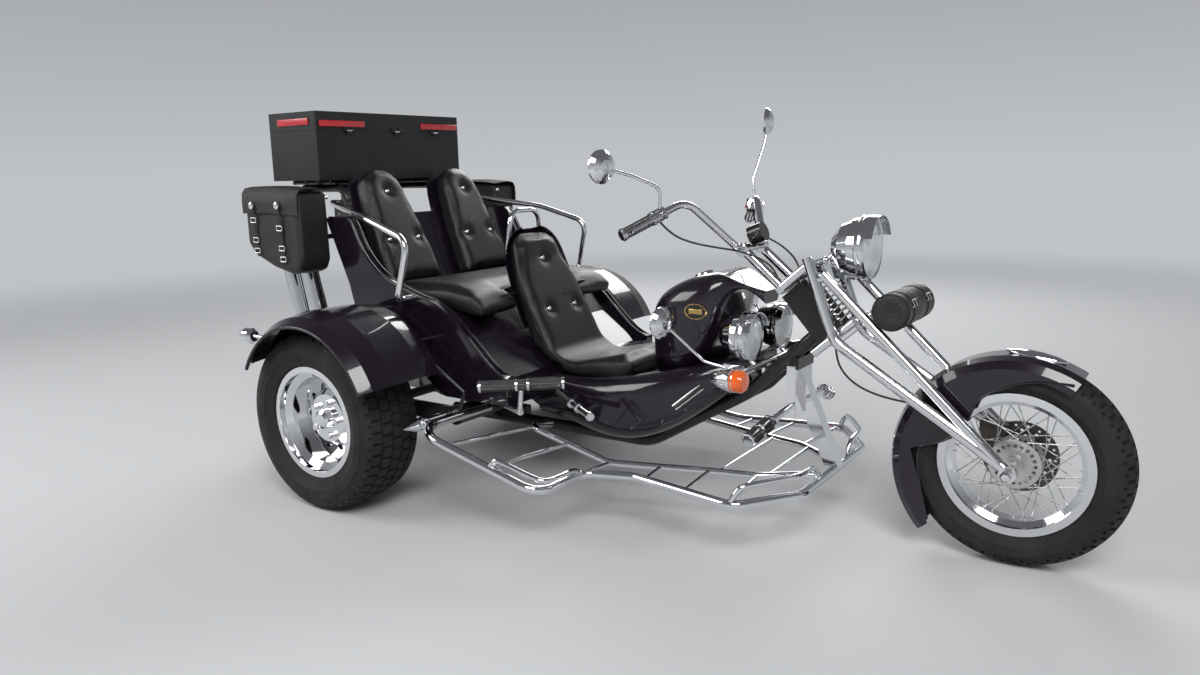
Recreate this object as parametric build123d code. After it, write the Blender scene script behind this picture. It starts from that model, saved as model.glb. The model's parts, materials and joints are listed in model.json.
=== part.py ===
# A three-wheeled motor trike: one wire-spoked wheel in a long raked fork,
# two wide rear wheels, a driver's bucket seat low in the middle, two raised
# seats behind it, and an air-cooled flat-four engine behind the rear axle.
#
# Lengths are millimetres. While a piece is made, X is forward from the rear
# axle, Y is to the left, Z is up from the ground. On saving, every piece is
# moved so that the origin lies under the middle of the whole length.

from math import atan2, cos, pi, radians, sin, tan
from build123d import *
import os

os.makedirs("parts", exist_ok=True)

# Driving dimensions
wheelbase = 2235.0
front_tyre_radius = 323.0
front_tyre_width = 150.0
front_seat_radius = 203.2
front_flange_height = 19.5
front_rim_width = 89.0
rear_tyre_radius = 338.0
rear_tyre_width = 256.0
rear_seat_radius = 190.5
rear_flange_height = 17.5
rear_rim_width = 203.0
rear_wheel_offset = 750.0
rear_overhang = 700.0
steering_rake = 41.0
steering_pivot_x = 1605.0
steering_pivot_z = 762.0
frame_tube = 45.0
rail_tube = 25.0
board_tube = 31.0
rung_tube = 15.0
ground_clearance = 268.0
body_half = 500.0

# Clearances and thicknesses
pin_gap = 0.05
seat_gap = 0.3
moving_gap = 6.0
shell_wall = 4.0
box_wall = 3.0
rim_wall = 4.0

front_reach = wheelbase + front_tyre_radius
origin_x = (front_reach - rear_overhang) / 2
rake_sin = sin(radians(steering_rake))
rake_cos = cos(radians(steering_rake))
steering_up = Vector(-rake_sin, 0, rake_cos)
steering_ahead = Vector(rake_cos, 0, rake_sin)


def save(name, *pieces):
    solids = [Pos(-origin_x, 0, 0) * solid for piece in pieces for solid in piece.solids()]
    export_step(solids[0] if len(solids) == 1 else Compound(solids), f"parts/{name}.step")


def bar(start, end, diameter):
    start, end = Vector(*start), Vector(*end)
    length = (end - start).length
    low = (Align.CENTER, Align.CENTER, Align.MIN)
    return Plane(origin=start, z_dir=end - start) * Cylinder(diameter / 2, length, align=low)


def tube(points, diameter, bends):
    path = FilletPolyline(*points, radius=bends)
    return sweep(Plane(origin=path @ 0, z_dir=path % 0) * Circle(diameter / 2), path=path)


def box(x, y, z):
    size = (x[1] - x[0], y[1] - y[0], z[1] - z[0])
    middle = ((x[0] + x[1]) / 2, (y[0] + y[1]) / 2, (z[0] + z[1]) / 2)
    return Pos(*middle) * Box(*size)


def turned(points, axis=Axis.Y):
    return revolve(make_face(Polyline(*points, close=True)), axis=axis)


def mirrored(shape):
    return mirror(shape, about=Plane.XZ)


def both(shape):
    return [shape, mirrored(shape)]


# A point in the steering's own frame: up its axis, ahead of it and sideways.
def steered(up, ahead=0.0, sideways=0.0):
    pivot = Vector(steering_pivot_x, sideways, steering_pivot_z)
    point = pivot + steering_up * up + steering_ahead * ahead
    return (point.X, point.Y, point.Z)


def steered_box(up, ahead, sideways):
    middle = steered(sum(up) / 2, sum(ahead) / 2, sum(sideways) / 2)
    size = (ahead[1] - ahead[0], sideways[1] - sideways[0], up[1] - up[0])
    return Plane(origin=middle, x_dir=steering_ahead, z_dir=steering_up) * Box(*size)


# A cross-section that faces along X, with rounded corners.
def section(x, half, low, high, corner):
    outline = RectangleRounded(2 * half, high - low, corner)
    return Plane(origin=(x, 0, (low + high) / 2), x_dir=(0, 1, 0), z_dir=(1, 0, 0)) * outline


# A side outline in X and Z, as thick as its range in Y.
def slab(points, y):
    face = make_face(Polyline(*points, close=True))
    plate = extrude(face, amount=y[1] - y[0])
    return Plane(origin=(0, y[1], 0), x_dir=(1, 0, 0), z_dir=(0, -1, 0)) * plate


# Tyres: one closed ring whose bead lines stand between the rim's flanges.
def tyre(radius, width, seat_radius, flange_height, rim_width, tread_width, crown):
    half = rim_width / 2
    shoulder = radius - crown
    bead_top = seat_radius + flange_height + 2
    middle = (bead_top + shoulder) / 2
    outline = Line((seat_radius, -half), (bead_top, -half))
    outline += ThreePointArc((bead_top, -half), (middle, -width / 2), (shoulder, -tread_width / 2))
    outline += ThreePointArc((shoulder, -tread_width / 2), (radius, 0), (shoulder, tread_width / 2))
    outline += ThreePointArc((shoulder, tread_width / 2), (middle, width / 2), (bead_top, half))
    outline += Line((bead_top, half), (seat_radius, half))
    outline += Line((seat_radius, half), (seat_radius, -half))
    return revolve(make_face(outline), axis=Axis.Y)


# Rims: a rolled channel with two flanges and a drop centre.
def rim_points(seat_radius, flange_height, rim_width, well_depth, ledge):
    half = rim_width / 2
    top = seat_radius + flange_height
    well = seat_radius - well_depth
    slope = half - ledge - well_depth * 0.6
    edge = half + rim_wall
    right = [(top, edge), (top, half), (seat_radius, half), (seat_radius, half - ledge), (well, slope)]
    left = [(r, -y) for r, y in reversed(right)]
    inner_left = [(seat_radius - rim_wall, -edge), (seat_radius - rim_wall, -(half - ledge + 2))]
    inner_left += [(well - rim_wall, -(slope + 2))]
    inner_right = [(r, -y) for r, y in reversed(inner_left)]
    return right + left + inner_left + inner_right


front_centre = Pos(wheelbase, 0, front_tyre_radius)
front_well_depth = 17.0
front_rim_ledge = 14.0
front_tyre = front_centre * tyre(front_tyre_radius, front_tyre_width, front_seat_radius,
                                 front_flange_height, front_rim_width, 118, 22)
save("front_tyre", front_tyre)
front_rim = turned(rim_points(front_seat_radius, front_flange_height, front_rim_width,
                              front_well_depth, front_rim_ledge))
save("front_rim", front_centre * front_rim)

# Front hub: a barrel with two drilled flanges, one for each row of spokes.
axle_radius = 10.0
hub_radius = 27.0
hub_half = 46.0
hub_left = 60.0
hub_flange_radius = 76.0
hub_flange_inner = 29.0
hub_flange_wall = 5.0
hub_hole_count = 20
hub_hole_circle = 58.0
hub_hole_radius = 6.0
hub = turned([(axle_radius + pin_gap, -hub_half), (hub_radius, -hub_half),
              (hub_radius, hub_left), (axle_radius + pin_gap, hub_left)])
for side in (-1, 1):
    inner = side * hub_flange_inner
    outer = side * (hub_flange_inner + hub_flange_wall)
    hub += turned([(hub_radius - 2, inner), (hub_flange_radius, inner),
                   (hub_flange_radius, outer), (hub_radius - 2, outer)])
for step in range(hub_hole_count):
    angle = radians(360 / hub_hole_count * step)
    centre = (hub_hole_circle * cos(angle), 0, hub_hole_circle * sin(angle))
    hub -= Pos(*centre) * Rot(90, 0, 0) * Cylinder(hub_hole_radius, 2 * hub_half)
save("front_hub", front_centre * hub)

# Forty wire spokes: twenty a side, leaning by turns forward and back.
spoke_diameter = 3.6
spoke_lean = 42.0
spoke_row_gap = 5.0
spoke_end_gap = 1.1
rim_inside = front_seat_radius - front_well_depth - rim_wall
spokes = []
for side in (-1, 1):
    for step in range(hub_hole_count):
        lean = 1 if step % 2 else -1
        start_angle = radians(360 / hub_hole_count * (step + 0.25 * side))
        end_angle = start_angle + lean * radians(spoke_lean)
        row = lean * spoke_row_gap / 2
        start_radius = hub_flange_radius + spoke_diameter / 2 + seat_gap
        end_radius = rim_inside - spoke_end_gap
        start = (start_radius * cos(start_angle), side * (hub_flange_inner + 2.5) + row,
                 start_radius * sin(start_angle))
        end = (end_radius * cos(end_angle), side * 9 + row, end_radius * sin(end_angle))
        spokes.append(front_centre * bar(start, end, spoke_diameter))
save("front_spokes", *spokes)

# Brake disc on the left end of the front hub, drilled in three rows.
disc_radius = 112.0
disc_wall = 5.0
disc = turned([(axle_radius + 6, hub_left), (disc_radius, hub_left),
               (disc_radius, hub_left + disc_wall), (axle_radius + 6, hub_left + disc_wall)])
disc_holes = (
    # circle radius, count, hole radius
    (66.0, 9, 7.0),
    (84.0, 12, 5.0),
    (99.0, 18, 4.0),
)
for circle, count, hole in disc_holes:
    for step in range(count):
        angle = radians(360 / count * step)
        spot = Pos(circle * cos(angle), hub_left + disc_wall / 2, circle * sin(angle))
        disc -= spot * Rot(90, 0, 0) * Cylinder(hole, 3 * disc_wall)
save("brake_disc", front_centre * disc)

# Rear wheels: wide deep-dish steel wheels with round slots and five lugs.
drum_radius = 118.0
stub_radius = 17.0
dish_plane = 28.0
cap_radius = 38.0
lug_circle = 65.0
lug_radius = 11.0
slot_count = 10
slot_circle = 118.0
slot_radius = 13.0
rear_centre = Pos(0, rear_wheel_offset, rear_tyre_radius)
rear_rim_well = 26.0
rear_tyre = tyre(rear_tyre_radius, rear_tyre_width, rear_seat_radius, rear_flange_height,
                 rear_rim_width, 214, 14)
rear_rim = turned(rim_points(rear_seat_radius, rear_flange_height, rear_rim_width,
                             rear_rim_well, 22))
well_inside = rear_seat_radius - rear_rim_well - rim_wall
dish = turned([(0, dish_plane + 8), (90, dish_plane + 8), (112, dish_plane - 12),
               (well_inside, dish_plane - 22), (well_inside, dish_plane - 28),
               (110, dish_plane - 18), (88, dish_plane + 2), (0, dish_plane + 2)])
for step in range(slot_count):
    angle = radians(360 / slot_count * step)
    spot = Pos(slot_circle * cos(angle), dish_plane, slot_circle * sin(angle))
    dish -= spot * Rot(90, 0, 0) * Cylinder(slot_radius, 120)
for step in range(5):
    angle = radians(72 * step)
    spot = Pos(lug_circle * cos(angle), dish_plane + 8 + 9, lug_circle * sin(angle))
    dish += spot * Rot(90, 0, 0) * Cylinder(lug_radius, 20)
dish += turned([(0, dish_plane + 7), (cap_radius, dish_plane + 7), (cap_radius - 3, dish_plane + 34),
                (cap_radius - 14, dish_plane + 42), (0, dish_plane + 44)])
rear_wheel = rear_rim + dish
drum_inner = -104.0
drum_outer = dish_plane + 2
drum = turned([(stub_radius + pin_gap, drum_inner), (drum_radius, drum_inner),
               (drum_radius, drum_inner + 60), (70, drum_inner + 66), (70, drum_outer),
               (stub_radius + pin_gap, drum_outer)])
for name, flip in (("left", 1), ("right", -1)):
    for label, piece in (("rear_tyre", rear_tyre), ("rear_wheel", rear_wheel), ("rear_drum", drum)):
        placed = rear_centre * piece
        save(f"{label}_{name}", placed if flip == 1 else mirrored(placed))

# Rear axle beam: the torsion tube ahead of the wheels with its spear ends,
# spring plates back to the hub carriers, and the stubs the drums turn on.
beam_x = 395.0
beam_z = 338.0
beam_radius = 36.0
beam_half = 520.0
spear_length = 285.0
carrier_y = rear_wheel_offset + drum_inner - moving_gap
beam = Pos(beam_x, 0, beam_z) * Rot(90, 0, 0) * Cylinder(beam_radius, 2 * beam_half)
for side in (-1, 1):
    arm_outer = side * (beam_half - 2)
    arm_inner = side * (beam_half - 22)
    arm_y = (min(arm_outer, arm_inner), max(arm_outer, arm_inner))
    beam += box((0, beam_x), arm_y, (beam_z - 30, beam_z + 30))
    carrier_ends = sorted((side * (beam_half - 30), side * carrier_y))
    beam += Pos(0, sum(carrier_ends) / 2, rear_tyre_radius) * Rot(90, 0, 0) * Cylinder(
        52, carrier_ends[1] - carrier_ends[0])
    stub_end = rear_wheel_offset + drum_outer - 4
    stub_ends = sorted((side * (carrier_y - 5), side * stub_end))
    beam += Pos(0, sum(stub_ends) / 2, rear_tyre_radius) * Rot(90, 0, 0) * Cylinder(
        stub_radius, stub_ends[1] - stub_ends[0])
save("rear_axle_beam", beam)

collar = spear_length - 143
spear_profile = [(0, 0), (17, 0), (17, collar), (25, collar + 6), (25, collar + 20), (13, collar + 26),
                 (26, collar + 42), (0, spear_length - 30)]
spear = revolve(make_face(Polyline(*[(r, y) for r, y in spear_profile], close=True)), axis=Axis.Y)
spears = []
for side in (-1, 1):
    place = Pos(beam_x - 10, side * (beam_half + seat_gap), beam_z + 8)
    spears.append(place * Rot(0, 0, 180 if side == -1 else 0) * spear)
save("beam_end_spears", *spears)


# Main frame: two low rails under the floor that rise to the neck, the neck
# box, and a rear loop behind the seats that carries the luggage rack.
rail_y = 165.0
rail_z = ground_clearance - frame_tube / 2 - seat_gap
neck_half = 100.0
neck_width = 90.0
neck_front = 15.0
neck_back = 75.0
stem_radius = 14.0
trunk_floor_z = 1207.0
rack_z = trunk_floor_z - 18.0 - 16.0 - 2 * seat_gap
rack_half = 300.0
loop_tube = 32.0
rack_bar = 18.0
neck = steered_box((-neck_half, neck_half), (-neck_back, neck_front), (-neck_width / 2, neck_width / 2))
main_frame = neck
for side in (-1, 1):
    low_rail = [(60, side * rail_y, rail_z), (1030, side * rail_y, rail_z),
                (1380, side * 90, 452), (1594, side * 24, 662)]
    main_frame += tube(low_rail, frame_tube, [160, 150])
    rear_loop = [(beam_x - 90, side * 250, rail_z + 40), (-110, side * 250, 440),
                 (-260, side * rack_half, 900), (-400, side * rack_half, rack_z),
                 (-650, side * rack_half, rack_z)]
    main_frame += tube(rear_loop, loop_tube, [120, 200, 60])
    main_frame += bar((beam_x - 90, side * (rail_y - 10), rail_z), (beam_x - 90, side * 262, rail_z + 40), 30)
    main_frame += box((beam_x - 60, beam_x + 60), (side * rail_y - 22, side * rail_y + 22),
                      (rail_z, beam_z - beam_radius - seat_gap))
for x in (90, 700):
    main_frame += bar((x, -rail_y, rail_z), (x, rail_y, rail_z), 30)
main_frame += bar((-650, -rack_half, rack_z), (-650, rack_half, rack_z), loop_tube)
bag_inner_y = body_half
for x, z in ((-286, 985), (-520, rack_z)):
    main_frame += bar((x, -(bag_inner_y - seat_gap), z), (x, bag_inner_y - seat_gap, z), 20)
main_frame += box((70, 110), (-40, 40), (rail_z, 300))
main_frame += box((1478, 1556), (-68, 68), (548, 588))
stem_hole = bar(steered(-neck_half - 1), steered(neck_half + 1), 2 * (stem_radius + pin_gap))
main_frame -= stem_hole
save("main_frame", main_frame)

# Front down tube: a polished box section from the cross plate to the boards.
board_front_x = 1666.0
board_front_z = 200.0
down_top = Vector(1518, 0, 548 - seat_gap)
down_foot = Vector(board_front_x - 6, 0, board_front_z + board_tube / 2 + seat_gap)
down_side = [(1490, down_top.Z), (1546, down_top.Z), (down_foot.X + 26, down_foot.Z),
             (down_foot.X - 22, down_foot.Z)]
down_tube = slab(down_side, (-27, 27))
save("front_down_tube", down_tube)

# Rear seat backs: each leans back and narrows to a rounded top.
back_centre_y = 231.0
back_lean = 24.0
back_thickness = 78.0
back_foot_x = -114.0
back_foot_z = 758.0
shell_thickness = 24.0
shell_foot = 200.0
shell_margin = 7.0
back_outline = (
    # half width, height along the back
    (166, 0),
    (166, 100),
    (151, 265),
    (122, 418),
    (101, 474),
    (64, 508),
    (26, 520),
)


def leaning_face(outline, margin, low):
    right = [(half + margin, max(height, low)) for half, height in outline]
    top_half, top = right[-1]
    right[-1] = (top_half, top + margin)
    right = [point for index, point in enumerate(right) if index == 0 or point != right[index - 1]]
    return make_face(Polyline(*(right + [(-y, z) for y, z in reversed(right)]), close=True))


def seat_back_plane(side, behind):
    lean = radians(back_lean)
    normal = Vector(cos(lean), 0, sin(lean))
    origin = Vector(back_foot_x, side * back_centre_y, back_foot_z) - normal * behind
    return Plane(origin=origin, x_dir=(0, 1, 0), z_dir=normal)


# Body shell: the rear seat box with its raised side edges, the low driver's
# tub ahead of it and the belly that rises towards the neck.
seat_box_low = 400.0
seat_box_side = [(640, seat_box_low), (640, 500), (575, 515), (455, 628), (385, 700), (280, 757), (125, 796),
                 (0, 850), (-76, 926), (-130, 1034), (-158, 1060), (-277, 1060), (-162, 800),
                 (-120, 640), (150, 520), (330, seat_box_low)]
edge_wall = 45.0
seat_box = slab(seat_box_side, (-body_half, body_half))
recess_foot = seat_back_plane(0, seat_gap).origin
recess_rise = 345.0
recess_top = recess_foot + Vector(-sin(radians(back_lean)), 0, cos(radians(back_lean))) * recess_rise
seat_floor_z = 712.0
seat_recess = [(700, 482), (592, 484), (440, 610), (366, 686), (330, seat_floor_z),
               (recess_foot.X, seat_floor_z), (recess_foot.X, recess_foot.Z), (recess_top.X, recess_top.Z),
               (recess_top.X, 1200), (700, 1200)]
seat_box -= slab(seat_recess, (-(body_half - edge_wall), body_half - edge_wall))
tub_sections = (
    # x, half width, low, high, corner
    (560, 225, 300, 500, 40),
    (820, 270, ground_clearance, 470, 60),
    (1080, 285, 290, 520, 70),
    (1290, 215, 420, 566, 50),
    (1395, 125, 500, 590, 30),
)
tub = loft([section(*row) for row in tub_sections])
seat_hollow = slab([(600, 560), (600, 445), (960, 432), (1040, 470), (1060, 560)], (-212, 212))
body_shell = seat_box + (tub - seat_hollow)
for side in (-1, 1):
    back_shell = extrude(leaning_face(back_outline, shell_margin, shell_foot), amount=shell_thickness)
    body_shell += seat_back_plane(side, shell_thickness + seat_gap) * back_shell

# Fuel tank: a rounded hump between the driver's seat and the neck.
tank_sections = (
    # x, half width, low, high, corner
    (1020, 110, 505, 735, 50),
    (1120, 180, 505, 826, 85),
    (1210, 190, 540, 860, 100),
    (1300, 150, 738, 862, 50),
    (1425, 62, 762, 806, 20),
)
fuel_tank = loft([section(*row) for row in tank_sections])
save("fuel_tank", fuel_tank)
body_shell -= fuel_tank
body_shell -= main_frame
save("body_shell", body_shell)

# Driver's bucket seat: one curved pad, low at the front and tall behind.
seat_half = 200.0
pad_lean = 26.3
pad_foot = (602.0, 0.0, 520.0)
seat_side = [(985, 520), (970, 560), (700, 500), (642, 504), (598, 534), (518, 690), (424, 880), (399, 964),
             (385, 995), (368, 1004), (353, 990), (361, 953), (377, 857), (451, 657), (520, 520),
             (560, 470), (640, 452), (700, 447), (940, 450)]
pad_outline = (
    # half width, height along the back
    (200, -400),
    (200, 201),
    (192, 335),
    (144, 491),
    (106, 522),
    (56, 545),
)
pad_out = (cos(radians(pad_lean)), 0, sin(radians(pad_lean)))
pad_plane = Plane(origin=pad_foot, x_dir=(0, 1, 0), z_dir=pad_out)
driver_seat = slab(seat_side, (-seat_half, seat_half))
driver_seat &= pad_plane * extrude(leaning_face(pad_outline, 0, -400), amount=500, both=True)
seat_front = [(1040, seat_half - 60), (980, seat_half), (300, seat_half)]
driver_seat &= extrude(make_face(Polyline(*(seat_front + [(x, -y) for x, y in reversed(seat_front)]),
                                          close=True)), amount=1200)
driver_seat -= fuel_tank
save("driver_seat", driver_seat - body_shell)

# Rear seats: one wide cushion and two tall backs with rounded tops.
cushion_top = 795.0
cushion_back = -40.0
cushion_front = 480.0
cushion_foot = seat_floor_z + seat_gap
cushion_side = [(cushion_back, cushion_foot), (330, cushion_foot), (466, 690), (cushion_front, 730),
                (430, 775), (300, cushion_top), (cushion_back + 12, cushion_top), (cushion_back, 764)]
cushion_half = body_half - edge_wall - 3
pad_notch_x = 383.0
pad_notch_half = seat_half + 6
rear_cushion = slab(cushion_side, (-cushion_half, cushion_half))
rear_cushion -= box((pad_notch_x, cushion_front + 20), (-pad_notch_half, pad_notch_half),
                    (600, cushion_top + 20))
save("rear_seat_cushion", rear_cushion)

backs = []
for side in (-1, 1):
    back = extrude(leaning_face(back_outline, 0, 0), amount=back_thickness)
    backs.append(seat_back_plane(side, 0) * back)
save("rear_seat_backs", *backs)

# Chrome rails on the seats: an armrest each side and a hoop behind the driver.
arm_y = body_half + 77
arm_foot_z = 766.0
armrests = []
for side in (-1, 1):
    arm_end_y = rack_half + loop_tube / 2 + rail_tube / 2 + seat_gap
    arm_points = [(190, side * (body_half + seat_gap), arm_foot_z), (190, side * arm_y, arm_foot_z),
                  (246, side * (arm_y - 11), 988), (0, side * (arm_y - 37), 1062), (-354, side * 400, 1115),
                  (-386, side * arm_end_y, 1112)]
    armrests.append(tube(arm_points, rail_tube, [26, 60, 200, 40]))
hoop_foot = (384.0, 110.0, 902.0)
hoop_back_x = 332.0
hoop_top = (342.0, 86.0, 1072.0)
hoop_points = [hoop_foot, (hoop_back_x, hoop_foot[1], hoop_foot[2] + 3), hoop_top]
hoop_points += [(x, -y, z) for x, y, z in reversed(hoop_points)]
hoop = tube(hoop_points, 20, [18, 60, 60, 18]) - driver_seat
save("seat_rails", *armrests, hoop)

# Rear fenders: a wide arched skin over each tyre with a rolled lip.
fender_inner_y = 560.0
fender_outer_y = 940.0
fender_crown = 385.0
fender_lip = 345.0
fender_start = 22.9
fender_sweep = 129.4
rear_fender_x = 50.0
rear_fender_z = rear_tyre_radius + 30
fender_rod = 14.0
fender_profile = [(fender_crown - 40, fender_inner_y), (fender_crown - 8, fender_inner_y + 30),
                  (fender_crown, fender_inner_y + 110), (fender_crown, fender_outer_y - 120),
                  (fender_crown - 14, fender_outer_y - 40), (fender_lip, fender_outer_y),
                  (fender_lip - 10, fender_outer_y), (fender_lip - 10, fender_outer_y - 8),
                  (fender_crown - 19, fender_outer_y - 44),
                  (fender_crown - 5, fender_outer_y - 122), (fender_crown - 5, fender_inner_y + 112),
                  (fender_crown - 12, fender_inner_y + 34), (fender_crown - 44, fender_inner_y + 4)]
fender_face = make_face(Polyline(*fender_profile, close=True))
fender = Rot(0, -fender_start, 0) * revolve(fender_face, axis=Axis.Y, revolution_arc=-fender_sweep)
fender = Pos(rear_fender_x, 0, rear_fender_z) * fender


def on_inner_edge(x):
    rise = ((fender_crown - 42) ** 2 - (x - rear_fender_x) ** 2) ** 0.5
    return (x, fender_inner_y + 3, rear_fender_z + rise)


body_side = body_half + seat_gap
for x in (0, 283):
    rod_start = on_inner_edge(x)
    fender += bar(rod_start, (x, body_side, rod_start[2]), fender_rod)
loop_rod = on_inner_edge(-188)
fender += bar(loop_rod, (-167, 269 + loop_tube / 2 + 1, loop_rod[2]), fender_rod)
# A thin stay from the fender's inner edge down to a tab on the footboard.
board_back = (446.0, 552.0, 350.0)
stay_foot = (480, board_back[1], 446)
fender += bar(on_inner_edge(62), stay_foot, 9)
fender += bar((board_back[0] + 2, board_back[1], board_back[2] + board_tube / 2 + 1), stay_foot, fender_rod)
for side in (-1, 1):
    name = "left" if side == 1 else "right"
    skin = fender if side == 1 else mirrored(fender)
    save(f"rear_fender_{name}", skin)

# Footboards: bent chrome tube with rungs, dropping from the rear seats to
# the driver's feet, and one bar across the front that the down tube holds.
inner_board_tube = board_tube - 6
board_z = board_front_z
outer_tubes = []
inner_tubes = []
rungs = []
rung_places = (
    # outer end, inner end, on the left side
    ((560, 755, 310), (650, 382, 297)),
    ((740, 741, 258), (800, 364, 250)),
    ((948, 480, board_z), (966, 342, board_z)),
    ((1165, 430, board_z), (1147, 298, board_z)),
    ((1330, 460, board_z), (1310, 238, board_z)),
    ((1500, 492, board_z), (1470, 200, board_z)),
)
for side in (-1, 1):
    outer = [(beam_x + beam_radius + board_tube / 2 + 6, side * 390, 350), (436, side * 762, 350),
             (937, side * 722, board_z), (946, side * 478, board_z), (1120, side * 422, board_z),
             (1524, side * 496, board_z), (board_front_x, side * 290, board_z),
             (board_front_x, side * 30, board_z)]
    outer_tubes.append(tube(outer, board_tube, [95, 70, 60, 60, 60, 60]))
    inner_start_y = rail_y + (frame_tube + inner_board_tube) / 2 + 2
    inner = [(600, side * inner_start_y, 256), (637, side * 380, 300),
             (965, side * 342, board_z), (1310, side * 238, board_z), (1474, side * 200, board_z),
             (1599, side * 109, board_z), (board_front_x, side * 90, board_z)]
    inner_tubes.append(tube(inner, inner_board_tube, [50, 150, 150, 100, 30]))
    for start, end in rung_places:
        rungs.append(bar((start[0], side * start[1], start[2]), (end[0], side * end[1], end[2]), rung_tube))
for x, y in ((1340, 232), (1500, 190)):
    rungs.append(bar((x, -y, board_z), (x, y, board_z), rung_tube))
front_bar = bar((board_front_x, -60, board_z), (board_front_x, 60, board_z), board_tube)
footboard_outer = outer_tubes[0] + front_bar + outer_tubes[1]
save("footboard_outer", footboard_outer)


def largest(shape):
    return max(shape.solids(), key=lambda solid: solid.volume)


inner_tubes = [largest(piece - footboard_outer) for piece in inner_tubes]
save("footboard_inner", *inner_tubes)
rungs = [largest(rung - footboard_outer - inner_tubes[0] - inner_tubes[1]) for rung in rungs]
save("footboard_rungs", *rungs)

# Foot pegs: a T-bar for each passenger and a peg each side for the driver.
pegs = []
for side in (-1, 1):
    passenger_peg = bar((600, side * (body_half + 110), 492), (850, side * (body_half - 60), 500), 32)
    peg_arm_z = seat_box_low - 12 - seat_gap
    passenger_peg += bar((725, side * (body_half + 25), 496), (692, side * (body_half - 2), peg_arm_z), 20)
    passenger_peg += bar((696, side * body_half, peg_arm_z), (590, side * (body_half - 50), peg_arm_z), 24)
    driver_peg = bar((1507, side * 360, 368), (1532, side * 235, 408), 40)
    peg_plate = [(1548, 561), (1518, 561), (1512, 385), (1550, 385)]
    driver_peg += slab(peg_plate, (side * 72.3 - 4, side * 72.3 + 4))
    driver_peg += bar((1532, side * 240, 406), (1532, side * 72, 420), 24)
    pegs += [passenger_peg, driver_peg]
save("foot_pegs", *pegs)


# Fork: yokes above and below the neck box, with the stem through it, and two
# tubes a side that meet at the axle, springs between the yokes.
fork_y = 130.0
fork_tube = 36.0
fork_front_tube = 34.0
arm_diameter = 30.0
yoke_wall = 24.0
yoke_gap = moving_gap
yoke_low = neck_half + yoke_gap
yoke_high = yoke_low + yoke_wall
yoke_arm_y = fork_y - fork_tube / 2 - arm_diameter / 2 - seat_gap
spring_ahead = 58.0
spring_y = 60.0
spring_radius = 24.0
yoke_level = (yoke_low + yoke_high) / 2
yokes = bar(steered(-yoke_high), steered(yoke_high), 2 * stem_radius)
yokes += steered_box((yoke_low, yoke_high), (-62, 86), (-82, 82))
yokes += steered_box((-yoke_high, -yoke_low), (-40, 86), (-86, 86))
for side in (-1, 1):
    y = side * yoke_arm_y
    yokes += bar(steered(yoke_level, -30, y), steered(yoke_level, 108, y), arm_diameter)
    yokes += bar(steered(-yoke_level, -83, y), steered(-yoke_level, 92, y), arm_diameter)
save("fork_yokes", yokes)

springs = []
spring_half = yoke_low - seat_gap
spring_rings = 13
for side in (-1, 1):
    y = side * spring_y
    rod = bar(steered(-spring_half, spring_ahead, y), steered(spring_half, spring_ahead, y), 30)
    for step in range(spring_rings):
        level = -spring_half + 8 + (2 * spring_half - 16) * step / (spring_rings - 1)
        rod += bar(steered(level - 4, spring_ahead, y), steered(level + 4, spring_ahead, y),
                   2 * spring_radius)
    springs.append(rod)
save("fork_springs", *springs)

axle_z = front_tyre_radius
legs = []
eye_radius = 25.0
eye_half = 19.0
leg_knee_x = 1699.0
leg_knee_z = 671.0
front_leg_x = 1657.0
front_leg_z = 884.0
for side in (-1, 1):
    y = side * fork_y
    top = steered(132, 112, y)
    leg = tube([top, (leg_knee_x, y, leg_knee_z), (wheelbase, y, axle_z + 6)], fork_tube, [90])
    leg += bar((front_leg_x, y, front_leg_z), (wheelbase, y, axle_z), fork_front_tube)
    leg += bar((front_leg_x - 23, y, front_leg_z - 16), (front_leg_x + 11, y, front_leg_z - 14), 24)
    leg += Pos(wheelbase, y, axle_z) * Rot(90, 0, 0) * Cylinder(eye_radius, 2 * eye_half)
    leg -= Pos(wheelbase, y, axle_z) * Rot(90, 0, 0) * Cylinder(axle_radius + pin_gap, 80)
    legs.append(leg)
save("fork_legs", *legs)

nut_start = fork_y + eye_half + seat_gap
axle = Pos(wheelbase, 0, axle_z) * Rot(90, 0, 0) * Cylinder(axle_radius, 2 * (nut_start + 16))
for side in (-1, 1):
    spacer_start = hub_left + disc_wall + 3 if side == 1 else hub_half + 3
    spacer = bar((wheelbase, side * spacer_start, axle_z),
                 (wheelbase, side * (fork_y - eye_half - seat_gap), axle_z), 32)
    nut = bar((wheelbase, side * nut_start, axle_z), (wheelbase, side * (nut_start + 14), axle_z), 32)
    axle += spacer + nut
save("front_axle", axle)

# Front fender: a crown skin over the tyre, with cheeks that hang deepest behind
# the rim. Its own centre lies a little behind and below the axle.
fender_back = 10.0
fender_drop = 18.0
fender_tip_angle = 59.0
fender_tail_angle = 222.0
front_fender_crown = 355.0
front_fender_half = 88.0
crown_side = 300.0
cheek_top = 314.0
fender_centre = (wheelbase - fender_back, axle_z - fender_drop)


def crown_skin():
    crown = front_fender_crown
    half = front_fender_half
    wall = shell_wall
    outer = [(crown_side, half), (crown - 34, half), (crown - 11, half - 15), (crown, half - 42)]
    inner = [(crown_side, half - wall), (crown - 36, half - wall),
             (crown - 14, half - 17.5), (crown - wall, half - 44)]
    outline = outer + [(r, -y) for r, y in reversed(outer)] + [(r, -y) for r, y in inner]
    outline += [(r, y) for r, y in reversed(inner)]
    sweep = fender_tail_angle - fender_tip_angle
    skin = revolve(make_face(Polyline(*outline, close=True)), axis=Axis.Y, revolution_arc=-sweep)
    return Pos(fender_centre[0], 0, fender_centre[1]) * Rot(0, -fender_tip_angle, 0) * skin


def around(centre, radius, angle):
    return (centre[0] + radius * cos(radians(angle)), centre[1] + radius * sin(radians(angle)))


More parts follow.
